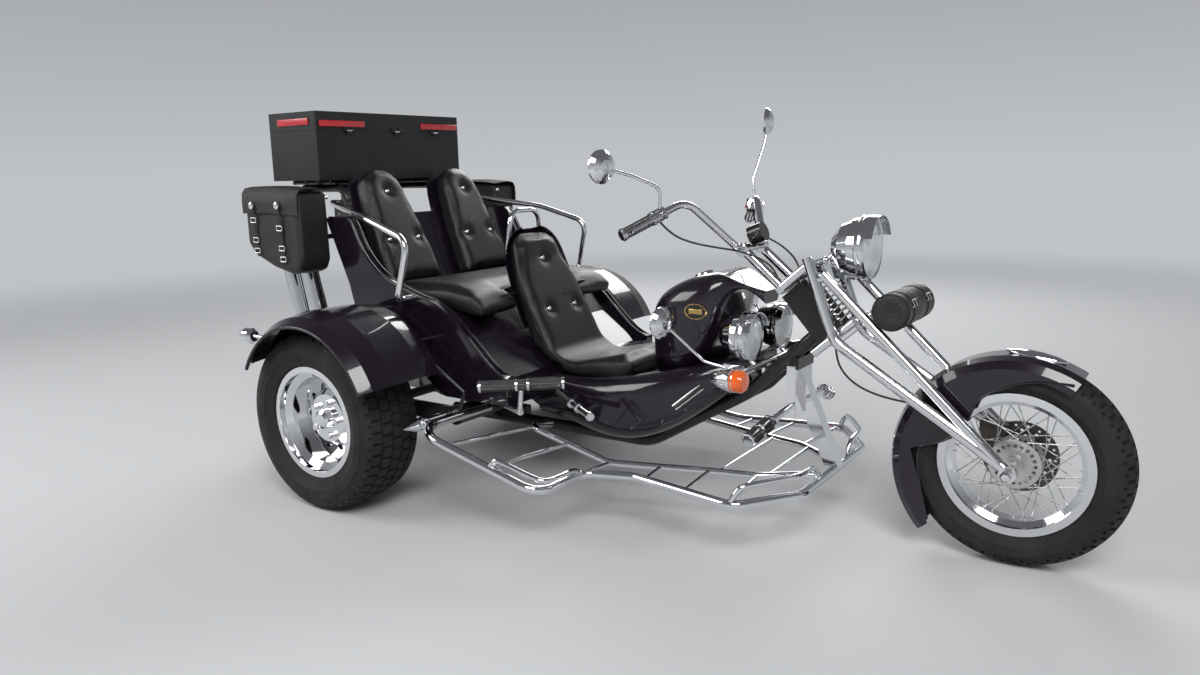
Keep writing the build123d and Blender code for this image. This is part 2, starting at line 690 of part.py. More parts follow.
cheek_edge = (
    # angle about the axle, radius of the lower edge
    (61, 312),
    (80, 281),
    (102, 243),
    (119, 222),
    (132, 184),
    (158, 185),
    (168, 222),
    (176, 296),
    (221, 308),
)
wheel_middle = (wheelbase, axle_z)
cheek_line = Polyline(*[around(wheel_middle, radius, angle) for angle, radius in cheek_edge])
cheek_back = around(fender_centre, cheek_top, fender_tail_angle)
cheek_crown = around(fender_centre, cheek_top, (fender_tip_angle + fender_tail_angle) / 2)
cheek_front = around(fender_centre, cheek_top, fender_tip_angle)
cheek_outline = cheek_line + Line(cheek_line @ 1, cheek_back)
cheek_outline += ThreePointArc(cheek_back, cheek_crown, cheek_front)
cheek_outline += Line(cheek_front, cheek_line @ 0)
cheek = extrude(make_face(cheek_outline), amount=shell_wall)
front_fender = crown_skin()
for outer_face in (front_fender_half, shell_wall - front_fender_half):
    front_fender += Plane(origin=(0, outer_face, 0), x_dir=(1, 0, 0), z_dir=(0, -1, 0)) * cheek
stay_diameter = 20.0
stay_places = (235.0, 183.0)
for place in stay_places:
    stay_x = wheelbase - place
    stay_z = axle_z + 6 + place * (leg_knee_z - axle_z - 6) / (wheelbase - leg_knee_x)
    for side in (-1, 1):
        front_fender += bar((stay_x, side * (front_fender_half - 2), stay_z),
                            (stay_x, side * (fork_y - fork_tube / 2 - seat_gap), stay_z), stay_diameter)
save("front_fender", front_fender)

# Caliper on the left leg, straddling the disc.
caliper_x = wheelbase - 78
caliper_z = axle_z + 66
disc_left = hub_left
caliper = box((caliper_x - 42, caliper_x + 42), (disc_left - 18, disc_left + disc_wall + 24),
              (caliper_z - 34, caliper_z + 34))
caliper -= Pos(wheelbase, disc_left + disc_wall / 2, axle_z) * Rot(90, 0, 0) * Cylinder(
    disc_radius + 5, disc_wall + 10)
caliper &= Pos(wheelbase, 0, axle_z) * Rot(90, 0, 0) * Cylinder(172, 400)
caliper -= Pos(wheelbase, 0, axle_z) * Rot(90, 0, 0) * Cylinder(hub_flange_radius + moving_gap, 400)
caliper += bar((caliper_x - 24, disc_left + disc_wall + 20, caliper_z + 4),
               (caliper_x - 24, fork_y - fork_tube / 2 - seat_gap, caliper_z + 4), 20)
save("front_caliper", caliper)

# Headlamp with its visor on a bracket over the upper yoke.
head_x = 1740.0
head_z = 962.0
lamp_radius = 100.0


def lamp(radius, depth, visor):
    shell = [(0, -depth), (radius * 0.42, -depth * 0.93), (radius * 0.78, -depth * 0.62),
             (radius * 0.95, -depth * 0.25), (radius, 0), (radius + 5, 4), (radius + 5, 24),
             (radius - 4, 30), (radius * 0.6, 40), (0, 44)]
    body = revolve(make_face(Polyline(*shell, close=True)), axis=Axis.Y)
    peak = Rot(90, 0, 0) * (Cylinder(radius + 5, visor) - Cylinder(radius + 2, visor + 2))
    peak = Pos(0, 20 + visor / 2, 0) * peak
    peak &= Pos(0, 0, radius * 0.35 + radius) * Box(4 * radius, 4 * visor + 200, 2 * radius)
    return Rot(0, 0, -90) * (body + peak)


headlamp = Pos(head_x, 0, head_z) * lamp(lamp_radius, 100, 40)
headlamp += bar((head_x - 20, 0, head_z - lamp_radius + 6), (head_x - 60, 0, 868), 26)
headlamp += slab([(head_x - 76, 858), (head_x - 44, 858), (head_x - 44, 880), (1600, 915), (1588, 893)],
                 (-20, 20))
headlamp -= yokes
save("headlamp", headlamp)

# Tool roll: a leather cylinder lying across the fork's front tubes.
roll_radius = 60.0
roll_half = 150.0
leg_slope = atan2(front_leg_z - axle_z, wheelbase - front_leg_x)
roll_foot_x = 1824.0
roll_foot_z = front_leg_z - (roll_foot_x - front_leg_x) * tan(leg_slope)
roll_offset = fork_front_tube / 2 + roll_radius + seat_gap
roll_x = roll_foot_x + roll_offset * sin(leg_slope)
roll_z = roll_foot_z + roll_offset * cos(leg_slope)
tool_roll = Pos(roll_x, 0, roll_z) * Rot(90, 0, 0) * Cylinder(roll_radius, 2 * roll_half)
save("tool_roll", tool_roll)

# Handlebar: risers from the upper yoke and one long pulled-back bar.
bar_tube = 25.4
grip_diameter = 34.0
clamp = (1352.0, 70.0, 948.0)
grip_end = (1120.0, 470.0, 1020.0)
bar_bend = (1240.0, 270.0, 1120.0)
handlebar_points = [grip_end, bar_bend, (clamp[0], 100, clamp[2]), (clamp[0], -100, clamp[2]),
                    (bar_bend[0], -bar_bend[1], bar_bend[2]), (grip_end[0], -grip_end[1], grip_end[2])]
handlebar = tube(handlebar_points, bar_tube, [75, 60, 60, 75])
for side in (-1, 1):
    foot = steered(yoke_high + seat_gap, -44, side * clamp[1])
    handlebar += bar(foot, (clamp[0], side * clamp[1], clamp[2]), 34)
    handlebar += bar((clamp[0], side * (clamp[1] - 20), clamp[2]),
                     (clamp[0], side * (clamp[1] + 20), clamp[2]), 46)
handlebar -= yokes
save("handlebar", handlebar)


def sided(side, point):
    return (point.X, side * point.Y, point.Z)


grip_direction = (Vector(*bar_bend) - Vector(*grip_end)).normalized()
controls = []
for side in (-1, 1):
    outer = Vector(*grip_end)
    start = outer - grip_direction * 6
    inner = outer + grip_direction * 118
    grip = bar(sided(side, start), sided(side, inner), grip_diameter)
    perch_end = inner + grip_direction * 46
    grip += bar(sided(side, inner), sided(side, perch_end), 46)
    lever_root = inner + grip_direction * 24 + Vector(34, 14, 10)
    lever_tip = outer + Vector(46, 22, 12)
    grip += bar(sided(side, inner + grip_direction * 24), sided(side, lever_root), 20)
    grip += bar(sided(side, lever_root), sided(side, lever_tip), 11)
    grip -= bar(sided(side, outer), sided(side, perch_end + grip_direction * 10), bar_tube + 2 * pin_gap)
    controls.append(grip)
save("hand_controls", *controls)

# Speedometer on the bar's middle, and the mirrors on their stems.
dial_radius = 34.0
speedometer = bar((clamp[0] + 5, 0, clamp[2] + 11), (clamp[0] + 24, 0, clamp[2] + 34), 20)
speedometer += bar((clamp[0] + 2, 0, clamp[2] + 44), (clamp[0] + 44, 0, clamp[2] + 60), 2 * dial_radius)
speedometer -= handlebar
save("speedometer", speedometer)

mirror_radius = 54.0


def mirror_head(place, facing):
    dome = [(0, 0), (mirror_radius, 0), (mirror_radius, 6), (mirror_radius * 0.8, 18),
            (mirror_radius * 0.4, 28), (0, 31)]
    head = revolve(make_face(Polyline(*dome, close=True)), axis=Axis.Y)
    return Plane(origin=place, x_dir=(0, 0, 1), z_dir=Vector(0, 0, 1).cross(Vector(*facing))) * head


mirror_tube = 11.0
perch_mid = Vector(*grip_end) + grip_direction * 141
stem_right = [(perch_mid.X + 6, -perch_mid.Y, perch_mid.Z + 23.5), (1196, -358, 1165),
              (1130, -425, 1205), (1072, -488, 1230)]
stem_left = [(perch_mid.X + 6, perch_mid.Y, perch_mid.Z + 23.5), (1180, 372, 1180),
             (1202, 420, 1305), (1206, 446, 1372)]
mirror_right = tube(stem_right, mirror_tube, [40, 30]) + mirror_head((1062, -500, 1235), (1, -0.25, -0.1))
mirror_left = tube(stem_left, mirror_tube, [40, 60]) + mirror_head((1196, 452, 1394), (1, 0.25, -0.1))
upper_mirrors = [mirror_right - controls[0], mirror_left - controls[1]]
save("upper_mirrors", *upper_mirrors)

# Lamps on a bar under the tank: two auxiliary lamps, an indicator at each
# end and a low round mirror each side.
lamp_bar_x = 1432.0
lamp_bar_z = 558.0
lamp_bar_half = 262.0
spot_x = 1385.0
spot_y = 130.0
spot_z = 660.0
spot_radius = 80.0
front_lamps = bar((lamp_bar_x, -lamp_bar_half, lamp_bar_z), (lamp_bar_x, lamp_bar_half, lamp_bar_z), 26)
for side in (-1, 1):
    front_lamps += Pos(spot_x, side * spot_y, spot_z) * lamp(spot_radius, 85, 34)
    front_lamps += bar((lamp_bar_x, side * spot_y, lamp_bar_z),
                       (spot_x + 12, side * spot_y, spot_z - spot_radius + 6), 18)
    rail_top = bar((lamp_bar_x, side * 74, 520), (lamp_bar_x, side * 74, lamp_bar_z), 20)
    front_lamps += rail_top
    front_lamps += box((lamp_bar_x - 72, lamp_bar_x + 2), (side * 236 - 3, side * 236 + 3), (556, 582))
    stem = [(lamp_bar_x - 66, side * 238, 570), (1300, side * 262, 590), (1203, side * 338, 712)]
    front_lamps += tube(stem, mirror_tube, [30])
    front_lamps += mirror_head((1188, side * 350, 724), (1, side * 0.25, 0))
front_lamps -= main_frame
front_lamps -= body_shell
save("front_lamps", front_lamps)

indicator_radius = 37.0
indicators = []
bullet = [(0, -78), (14, -70), (27, -44), (indicator_radius, -4), (indicator_radius, 36), (30, 47), (0, 50)]
for side in (-1, 1):
    shape = Rot(0, 0, -90) * revolve(make_face(Polyline(*bullet, close=True)), axis=Axis.Y)
    place = Pos(lamp_bar_x - 10, side * (lamp_bar_half + indicator_radius + seat_gap), lamp_bar_z - 14)
    indicators.append(place * shape)
save("front_indicators", *indicators)

# Engine behind the axle: crankcase, four finned cylinders, heads, fan
# housing and gearbox, and the exhaust with its upswept twin stacks.
engine_low = 290.0
engine = box((-570, -190), (-128, 128), (engine_low, 520))
cylinder_z = 405.0
fin_count = 9
for side in (-1, 1):
    for x in (-300, -445):
        engine += bar((x, side * 126, cylinder_z), (x, side * 320, cylinder_z), 110)
        for step in range(fin_count):
            y = 146 + step * 19
            engine += bar((x, side * y, cylinder_z), (x, side * (y + 7), cylinder_z), 142)
    heads = sorted((side * 318, side * 366))
    engine += box((-520, -225), (heads[0], heads[1]), (cylinder_z - 66, cylinder_z + 66))
    covers = sorted((side * 364, side * 398))
    engine += box((-505, -240), (covers[0], covers[1]), (cylinder_z - 60, cylinder_z + 20))
engine += bar((-565, 0, 380), (-606, 0, 380), 170)
save("engine_block", engine)

fan_housing = box((-468, -330), (-215, 215), (520 + seat_gap, 668))
fan_housing += bar((-468, -40, 690), (-330, -40, 690), 270)
fan_housing += bar((-330, -40, 690), (-232, -40, 690), 110)
fan_housing += bar((-468, -40, 690), (-560, -40, 690), 120)
save("fan_housing", fan_housing)

gearbox_back = -190 + seat_gap
gearbox = loft([section(gearbox_back, 120, 290, 500, 40), section(-60, 105, 262, 430, 40),
                section(60, 62, 275, 400, 30), section(330, 52, 282, 385, 25)])
gearbox -= main_frame
gearbox -= beam
save("gearbox", gearbox)

shafts = []
for side in (-1, 1):
    inner = side * 60
    outer = side * (beam_half - 30 - seat_gap)
    shafts.append(bar((0, inner, rear_tyre_radius), (0, outer, rear_tyre_radius), 38)
                  + bar((0, inner, rear_tyre_radius), (0, side * 180, rear_tyre_radius), 90))
shafts = [shaft - gearbox for shaft in shafts]
save("drive_shafts", *shafts)

muffler_x = -632.0
stack_places = (-530.0, -420.0)
stack_diameter = 76.0
exhaust = bar((muffler_x, -330, 352), (muffler_x, 330, 352), 120)
for side in (-1, 1):
    y = side * 444
    exhaust += bar((muffler_x, side * 280, 352), (-560, side * 434, 470), 50)
    for x in stack_places:
        exhaust += bar((x, y, 600), (x - 62, y, 858), stack_diameter)
        exhaust += bar((x, y, 604), (-560, side * 434, 470), 46)
    exhaust += bar((-560, side * 430, 470), (-470, side * (398 + seat_gap + 16), cylinder_z + 50), 40)
exhaust -= engine
save("exhaust", exhaust)

# Luggage rack, trunk with its lid, saddlebags, tail lamps and plate.
rack_bar_z = trunk_floor_z - rack_bar / 2 - seat_gap
rack = bar((-668, -340, rack_bar_z), (-668, 340, rack_bar_z), rack_bar)
for x in (-590, -510, -430):
    rack += bar((x, -340, rack_bar_z), (x, 340, rack_bar_z), rack_bar)
for side in (-1, 1):
    rack += bar((-672, side * 330, rack_bar_z), (-410, side * 330, rack_bar_z), rack_bar - 2)
save("luggage_rack", rack)

trunk_front = -398.0
trunk_back = -rear_overhang
trunk_half = 418.0
trunk_top = 1488.0
lid_height = 75.0
lid_gap = 1.0
lid_seam = trunk_top - lid_height
trunk = box((trunk_back, trunk_front), (-trunk_half, trunk_half), (trunk_floor_z, lid_seam - lid_gap))
trunk -= box((trunk_back + box_wall, trunk_front - box_wall),
             (-trunk_half + box_wall, trunk_half - box_wall), (trunk_floor_z + box_wall, trunk_top))
lid = box((trunk_back, trunk_front), (-trunk_half, trunk_half), (lid_seam, trunk_top))
lid -= box((trunk_back + box_wall, trunk_front - box_wall),
           (-trunk_half + box_wall, trunk_half - box_wall), (lid_seam - 1, trunk_top - box_wall))
hinge_radius = 5.0
hinge_x = trunk_front + hinge_radius + 1
hinge_z = lid_seam - lid_gap
for y in (-250, 20, 260):
    knuckle = bar((hinge_x, y - 14, hinge_z), (hinge_x, y + 14, hinge_z), 2 * hinge_radius)
    pin = bar((hinge_x, y - 27, hinge_z), (hinge_x, y + 27, hinge_z), 4)
    trunk += knuckle + pin + box((trunk_front - 1, hinge_x), (y - 14, y + 14), (hinge_z - 16, hinge_z - 2))
    for low, high in ((y - 27, y - 15), (y + 15, y + 27)):
        leaf = bar((hinge_x, low, hinge_z), (hinge_x, high, hinge_z), 2 * hinge_radius)
        leaf += box((trunk_front - 1, hinge_x), (low, high), (lid_seam, hinge_z + 16))
        lid += leaf - bar((hinge_x, low - 1, hinge_z), (hinge_x, high + 1, hinge_z), 4 + 4 * pin_gap)
save("trunk_box", trunk)
save("trunk_lid", lid)

bag_x = (-590, -250)
bag_outer_y = 650.0
bag_side = [(bag_inner_y, 840), (bag_outer_y - 25, 840), (bag_outer_y, 880), (bag_outer_y - 12, 1150),
            (bag_outer_y - 40, 1190), (bag_inner_y, 1190)]
bag_face = make_face(Polyline(*bag_side, close=True))
bag = Plane(origin=(bag_x[0], 0, 0), x_dir=(0, 1, 0), z_dir=(1, 0, 0)) * extrude(bag_face, amount=340)
save("saddlebags", *both(bag))

tails = []
tail_x = -320.0
tail_z = 631.0
for side in (-1, 1):
    y = side * 845
    bullet_tail = [(0, -58), (26, -54), (30, -40), (30, -8), (20, 6), (0, 10)]
    shape = Rot(0, 0, -90) * revolve(make_face(Polyline(*bullet_tail, close=True)), axis=Axis.Y)
    tails.append(Pos(tail_x, y, tail_z) * shape + bar((tail_x + 6, y, tail_z), (-222, y, tail_z), 16))
under_fender = Pos(rear_fender_x, 0, rear_fender_z) * Rot(90, 0, 0) * Cylinder(
    fender_crown - 6, 2 * fender_outer_y)
tails = [tail - (fender if side == 1 else mirrored(fender)) - under_fender
         for tail, side in zip(tails, (-1, 1))]
save("tail_lamps", *tails)

plate_x = -684.0
plate_hole_y = 95.0
plate_hole_z = 1050.0
plate_hole = 6.0
plate = box((plate_x - 2, plate_x), (-120, 120), (985, 1115))
for side in (-1, 1):
    hole_y = side * plate_hole_y
    plate -= bar((plate_x - 3, hole_y, plate_hole_z), (plate_x + 1, hole_y, plate_hole_z), plate_hole)
for side in (-1, 1):
    plate += box((plate_x - 1, plate_x + 5), (side * 70 - 10, side * 70 + 10), (1090, rack_z))
plate += box((plate_x, -650 - loop_tube / 2 - seat_gap), (-80, 80), (rack_z - 10, rack_z + 10))
save("number_plate", plate)


# Cables: one from each lever to the upper yoke, and the brake hose that
# sags from the lower yoke to the bracket on the front fender.
def cord(points, diameter):
    vectors = [Vector(*point) for point in points]
    runs = [second - first for first, second in zip(vectors, vectors[1:])]
    bends = []
    for before, after in zip(runs, runs[1:]):
        half_turn = radians(before.get_angle(after)) / 2
        bends.append(0.45 * min(before.length, after.length) / tan(half_turn))
    print("bend radii", [round(bend) for bend in bends])
    shape = tube(points, diameter, bends)
    path_length = FilletPolyline(*points, radius=bends).length
    print("cord length", round(path_length), "volume share",
          round(shape.volume / (path_length * pi * diameter ** 2 / 4), 4))
    return shape


cable_diameter = 7.0
hose_diameter = 7.0
cable_route = [(1189, 356, 1058), (1212, 322, 1014), (1258, 268, 984), (1316, 212, 966),
               (1380, 160, 952), (1438, 122, 926), (1478, 102, 892), (1493, 96, 852)]
cables = [cord([(x, side * y, z) for x, y, z in cable_route], cable_diameter) for side in (-1, 1)]
cables = [cable - yokes - control for cable, control in zip(cables, controls)]
save("lever_cables", *cables)

hose_route = [(1675, -50, 650), (1681, -56, 602), (1708, -66, 556), (1758, -78, 522),
              (1822, -88, 502), (1888, -96, 494), (1944, -100, 491), (1990, -100, 481)]
hose = cord(hose_route, hose_diameter) - yokes - front_fender
save("brake_hose", hose)
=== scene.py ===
import json
import math
import bmesh
import bpy
from mathutils import Matrix, Vector
from mathutils.bvhtree import BVHTree


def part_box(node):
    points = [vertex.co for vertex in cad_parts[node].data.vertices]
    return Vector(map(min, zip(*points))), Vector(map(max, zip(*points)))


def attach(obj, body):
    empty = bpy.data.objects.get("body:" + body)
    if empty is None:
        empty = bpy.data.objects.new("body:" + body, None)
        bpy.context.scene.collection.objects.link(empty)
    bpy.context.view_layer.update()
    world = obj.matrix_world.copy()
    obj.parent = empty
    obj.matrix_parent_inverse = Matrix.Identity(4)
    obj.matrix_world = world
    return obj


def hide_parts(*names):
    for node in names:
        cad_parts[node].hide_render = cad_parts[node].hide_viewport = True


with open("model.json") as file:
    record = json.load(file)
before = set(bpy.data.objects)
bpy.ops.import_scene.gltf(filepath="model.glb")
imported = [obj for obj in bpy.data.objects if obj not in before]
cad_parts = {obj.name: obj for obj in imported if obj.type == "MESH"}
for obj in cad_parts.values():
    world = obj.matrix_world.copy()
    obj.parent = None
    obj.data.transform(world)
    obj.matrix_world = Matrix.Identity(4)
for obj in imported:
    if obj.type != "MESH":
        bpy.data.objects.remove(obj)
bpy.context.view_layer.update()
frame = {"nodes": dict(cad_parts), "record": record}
print("frame loaded")


def middleOf(node):
    low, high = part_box(node)
    return (low + high) / 2


rearAxle = middleOf("rear_wheel_right")
frontAxle = middleOf("front_rim")


# The rear axle is the zero of the long direction, as it is in the part's source
def at(x, y, z):
    return Vector((x + rearAxle.x, y, z))


def linked(thing):
    bpy.context.collection.objects.link(thing)
    return thing


# Camera, at the photograph's place and angle

cameraSettings = {
    "place": (1.759, -2.887, 1.228),
    "right": (0.8260, 0.5637, -0.0216),
    "up": (-0.0858, 0.1635, 0.9828),
    "lens": 27.06,
    "sensor": 36.0,
    "farthest": 200.0,
}


def makeCamera():
    data = bpy.data.cameras.new("camera")
    data.lens = cameraSettings["lens"]
    data.sensor_width = cameraSettings["sensor"]
    data.sensor_fit = "HORIZONTAL"
    data.clip_end = cameraSettings["farthest"]
    camera = linked(bpy.data.objects.new("camera", data))
    right = Vector(cameraSettings["right"]).normalized()
    up = Vector(cameraSettings["up"]).normalized()
    back = right.cross(up).normalized()
    up = back.cross(right)
    turn = Matrix((right, up, back)).transposed().to_4x4()
    camera.matrix_world = Matrix.Translation(cameraSettings["place"]) @ turn
    bpy.context.scene.camera = camera


makeCamera()
print("camera placed")

# Node helpers and shared groups


def nodeIn(tree, kind, values=(), **settings):
    node = tree.nodes.new("ShaderNode" + kind)
    for key, value in settings.items():
        setattr(node, key, value)
    for socket, value in dict(values).items():
        node.inputs[socket].default_value = value
    return node


def mathIn(tree, operation, second=None):
    return nodeIn(tree, "Math", {} if second is None else {1: second}, operation=operation)


# Each wire is a node and its output, then the next node and its input
def wire(tree, *wires):
    for source, output, sink, socket in wires:
        tree.links.new(source.outputs[output], sink.inputs[socket])


# A group reads a place on the piece and some values, and puts out one value
def startGroup(name, inputs, output):
    tree = bpy.data.node_groups.new(name, "ShaderNodeTree")
    for label, start in {"Vector": None, **inputs}.items():
        kind = "NodeSocketVector" if start is None else "NodeSocketFloat"
        socket = tree.interface.new_socket(name=label, in_out="INPUT", socket_type=kind)
        if start is not None:
            socket.default_value = start
    tree.interface.new_socket(name=output, in_out="OUTPUT", socket_type="NodeSocketFloat")
    return tree, tree.nodes.new("NodeGroupInput"), tree.nodes.new("NodeGroupOutput")


def makeSmudges():
    tree, source, sink = startGroup("smudges", {"Scale": 8.0, "Low": 0.1, "High": 0.3}, "Value")
    broad = nodeIn(tree, "TexNoise", {"Detail": 5.0, "Roughness": 0.6})
    spread = nodeIn(tree, "MapRange", {"From Min": 0.3, "From Max": 0.7})
    wire(tree, (source, "Vector", broad, "Vector"), (source, "Scale", broad, "Scale"),
         (broad, "Fac", spread, "Value"), (source, "Low", spread, "To Min"),
         (source, "High", spread, "To Max"), (spread, "Result", sink, "Value"))
    return tree


def makeHide():
    tree, source, sink = startGroup("hideGrain", {"Scale": 300.0}, "Height")
    cells = nodeIn(tree, "TexVoronoi", {"Randomness": 0.9}, feature="DISTANCE_TO_EDGE")
    crease = nodeIn(tree, "TexNoise", {"Detail": 4.0})
    coarser, edge, total = mathIn(tree, "MULTIPLY", 0.12), mathIn(tree, "MULTIPLY", 1.6), mathIn(tree, "ADD")
    wire(tree, (source, "Vector", cells, "Vector"), (source, "Scale", cells, "Scale"),
         (source, "Vector", crease, "Vector"), (source, "Scale", coarser, 0), (coarser, 0, crease, "Scale"),
         (cells, "Distance", edge, 0), (edge, 0, total, 0), (crease, "Fac", total, 1),
         (total, 0, sink, "Height"))
    return tree


def makePebble():
    tree, source, sink = startGroup("pebbleGrain", {"Scale": 500.0}, "Height")
    grain = nodeIn(tree, "TexNoise", {"Detail": 3.0, "Roughness": 0.55})
    wire(tree, (source, "Vector", grain, "Vector"), (source, "Scale", grain, "Scale"),
         (grain, "Fac", sink, "Height"))
    return tree


# Upright ribs, as in a lamp's glass
def makeFlutes():
    tree, source, sink = startGroup("flutes", {"Scale": 900.0}, "Height")
    split, wider, wave = nodeIn(tree, "SeparateXYZ"), mathIn(tree, "MULTIPLY"), mathIn(tree, "SINE")
    wire(tree, (source, "Vector", split, "Vector"), (split, "Y", wider, 0), (source, "Scale", wider, 1),
         (wider, 0, wave, 0), (wave, 0, sink, "Height"))
    return tree


# Even small cells, as in a reflector
def makeFacets():
    tree, source, sink = startGroup("facets", {"Scale": 260.0}, "Height")
    cells = nodeIn(tree, "TexVoronoi", {"Randomness": 0.0}, feature="F1")
    wire(tree, (source, "Vector", cells, "Vector"), (source, "Scale", cells, "Scale"),
         (cells, "Distance", sink, "Height"))
    return tree


# Short cuts across a tread, fanned by how far they are from its middle
def makeTreadCuts():
    tree, source, sink = startGroup("treadCuts", {"Centre": None, "Count": 60.0, "Inner": 0.3}, "Height")
    shift, split = nodeIn(tree, "VectorMath", operation="SUBTRACT"), nodeIn(tree, "SeparateXYZ")
    flat, reach = nodeIn(tree, "CombineXYZ"), nodeIn(tree, "VectorMath", operation="LENGTH")
    angle, spread, turns = mathIn(tree, "ARCTAN2"), mathIn(tree, "MULTIPLY"), mathIn(tree, "DIVIDE", math.tau)
    away, fan, phase = mathIn(tree, "ABSOLUTE"), mathIn(tree, "MULTIPLY", 26.0), mathIn(tree, "ADD")
    share, cut = mathIn(tree, "FRACT"), mathIn(tree, "GREATER_THAN", 0.20)
    below, height = mathIn(tree, "LESS_THAN"), mathIn(tree, "MAXIMUM")
    wire(tree, (source, "Vector", shift, 0), (source, "Centre", shift, 1), (shift, "Vector", split, "Vector"),
         (split, "Z", angle, 0), (split, "X", angle, 1), (angle, 0, spread, 0), (source, "Count", spread, 1),
         (spread, 0, turns, 0), (split, "Y", away, 0), (away, 0, fan, 0), (turns, 0, phase, 0),
         (fan, 0, phase, 1), (phase, 0, share, 0), (share, 0, cut, 0), (split, "X", flat, "X"),
         (split, "Z", flat, "Z"), (flat, "Vector", reach, 0), (reach, "Value", below, 0),
         (source, "Inner", below, 1), (cut, 0, height, 0), (below, 0, height, 1), (height, 0, sink, "Height"))
    return tree


grainGroups = {"hide": makeHide(), "pebble": makePebble(), "flutes": makeFlutes(), "facets": makeFacets()}
treadCuts = makeTreadCuts()
smudges = makeSmudges()

# Finishes: colour and a second colour in patches, gloss range, grain


def look(colour, second, patch, rough, grainScale, depth, grain="pebble", metal=0.0, coat=0.0, shine=0.5):
    return {"colour": colour, "second": second, "patch": patch, "rough": rough, "grainScale": grainScale,
            "depth": depth, "grain": grain, "metal": metal, "coat": coat, "shine": shine}


finishes = {
    "tyre": look((0.011, 0.011, 0.0115), (0.022, 0.021, 0.020), 9.0, (0.55, 0.80), 420.0, 0.0006,
                 shine=0.25),
    "chrome": look((0.80, 0.80, 0.81), (0.70, 0.71, 0.73), 3.0, (0.04, 0.11), 60.0, 0.00004, metal=1.0),
    "spoke_steel": look((0.62, 0.62, 0.62), (0.48, 0.48, 0.48), 30.0, (0.2, 0.36), 400.0, 0.0001,
                        metal=1.0),
    "disc_steel": look((0.07, 0.07, 0.075), (0.14, 0.13, 0.12), 18.0, (0.3, 0.5), 300.0, 0.0001, metal=0.9),
    "frame_black": look((0.008, 0.008, 0.009), (0.018, 0.018, 0.018), 6.0, (0.22, 0.42), 200.0, 0.0001,
                        coat=0.2, shine=0.3),
    "body_paint": look((0.0052, 0.0032, 0.0062), (0.0110, 0.0060, 0.0125), 1.6, (0.20, 0.30), 2400.0,
                       0.00003, coat=0.8, shine=0.15),
    "seat_leather": look((0.0048, 0.0056, 0.0062), (0.0100, 0.0112, 0.0122), 5.0, (0.27, 0.33), 420.0,
                         0.0005, grain="hide", shine=0.36),
    "bag_leather": look((0.0062, 0.0060, 0.0062), (0.0150, 0.0140, 0.0135), 8.0, (0.28, 0.46), 260.0,
                        0.0011, grain="hide", shine=0.4),
    "trunk_coat": look((0.0105, 0.0120, 0.0125), (0.0175, 0.0195, 0.0200), 4.0, (0.36, 0.5), 700.0, 0.0002,
                       shine=0.28),
    "engine_alloy": look((0.36, 0.36, 0.36), (0.22, 0.21, 0.20), 10.0, (0.4, 0.62), 260.0, 0.0004,
                         metal=0.9),
    "gearbox_alloy": look((0.30, 0.30, 0.30), (0.18, 0.17, 0.16), 8.0, (0.45, 0.66), 260.0, 0.0004,
                          metal=0.85),
    "fan_black": look((0.008, 0.008, 0.008), (0.015, 0.015, 0.015), 6.0, (0.16, 0.3), 200.0, 0.0001,
                      coat=0.6, shine=0.2),
    "cast_black": look((0.045, 0.044, 0.043), (0.085, 0.07, 0.06), 14.0, (0.55, 0.78), 300.0, 0.0005,
                       metal=0.5),
    "plate": look((0.78, 0.78, 0.76), (0.70, 0.70, 0.68), 5.0, (0.25, 0.38), 120.0, 0.00005, coat=0.2),
    "lamp_orange": look((0.80, 0.13, 0.008), (0.62, 0.08, 0.004), 20.0, (0.08, 0.16), 90.0, 0.0001,
                        coat=0.8),
    "rubber_hose": look((0.016, 0.016, 0.016), (0.028, 0.028, 0.028), 20.0, (0.5, 0.68), 300.0, 0.0001),
    "strapLeather": look((0.010, 0.0095, 0.0095), (0.026, 0.023, 0.021), 30.0, (0.4, 0.6), 500.0, 0.0005,
                         grain="hide", shine=0.35),
    "reflectorRed": look((0.50, 0.008, 0.014), (0.34, 0.004, 0.008), 12.0, (0.08, 0.18), 260.0, 0.0006,
                         grain="facets", coat=0.8),
    "lensGlass": look((0.52, 0.56, 0.58), (0.72, 0.75, 0.76), 9.0, (0.03, 0.08), 900.0, 0.0012,
                      grain="flutes", metal=0.35, coat=1.0),
    "mirrorGlass": look((0.86, 0.88, 0.89), (0.80, 0.82, 0.83), 4.0, (0.01, 0.03), 30.0, 0.00002,
                        metal=1.0),
    "plaqueGold": look((0.62, 0.44, 0.16), (0.48, 0.33, 0.12), 60.0, (0.18, 0.32), 900.0, 0.0001,
                       metal=1.0),
    "dialFace": look((0.02, 0.02, 0.021), (0.035, 0.035, 0.036), 40.0, (0.06, 0.14), 200.0, 0.00005,
                     coat=1.0),
    "hubAlloy": look((0.62, 0.62, 0.61), (0.50, 0.50, 0.49), 14.0, (0.26, 0.40), 700.0, 0.0001, metal=1.0),
    # near-black and rough: soot, with painted shade standing in for the dark of a hollow bore
    "sootAndBoreShade": look((0.006, 0.006, 0.006), (0.014, 0.013, 0.012), 50.0, (0.8, 0.95), 600.0, 0.0006),
}
# name, node, cuts round the tread, radius below which there are none
for tyreFinish, wheelNode, cutCount, cutInner in (("frontTyre", "front_tyre", 60, 0.297),
                                                  ("rearTyreRight", "rear_tyre_right", 72, 0.3215),
                                                  ("rearTyreLeft", "rear_tyre_left", 72, 0.3215)):
    finishes[tyreFinish] = dict(finishes["tyre"], wheel=wheelNode, cuts=cutCount, inner=cutInner)
finishSettings = {"coatRough": 0.04, "glossPatch": 2.3, "cutDepth": 0.004}


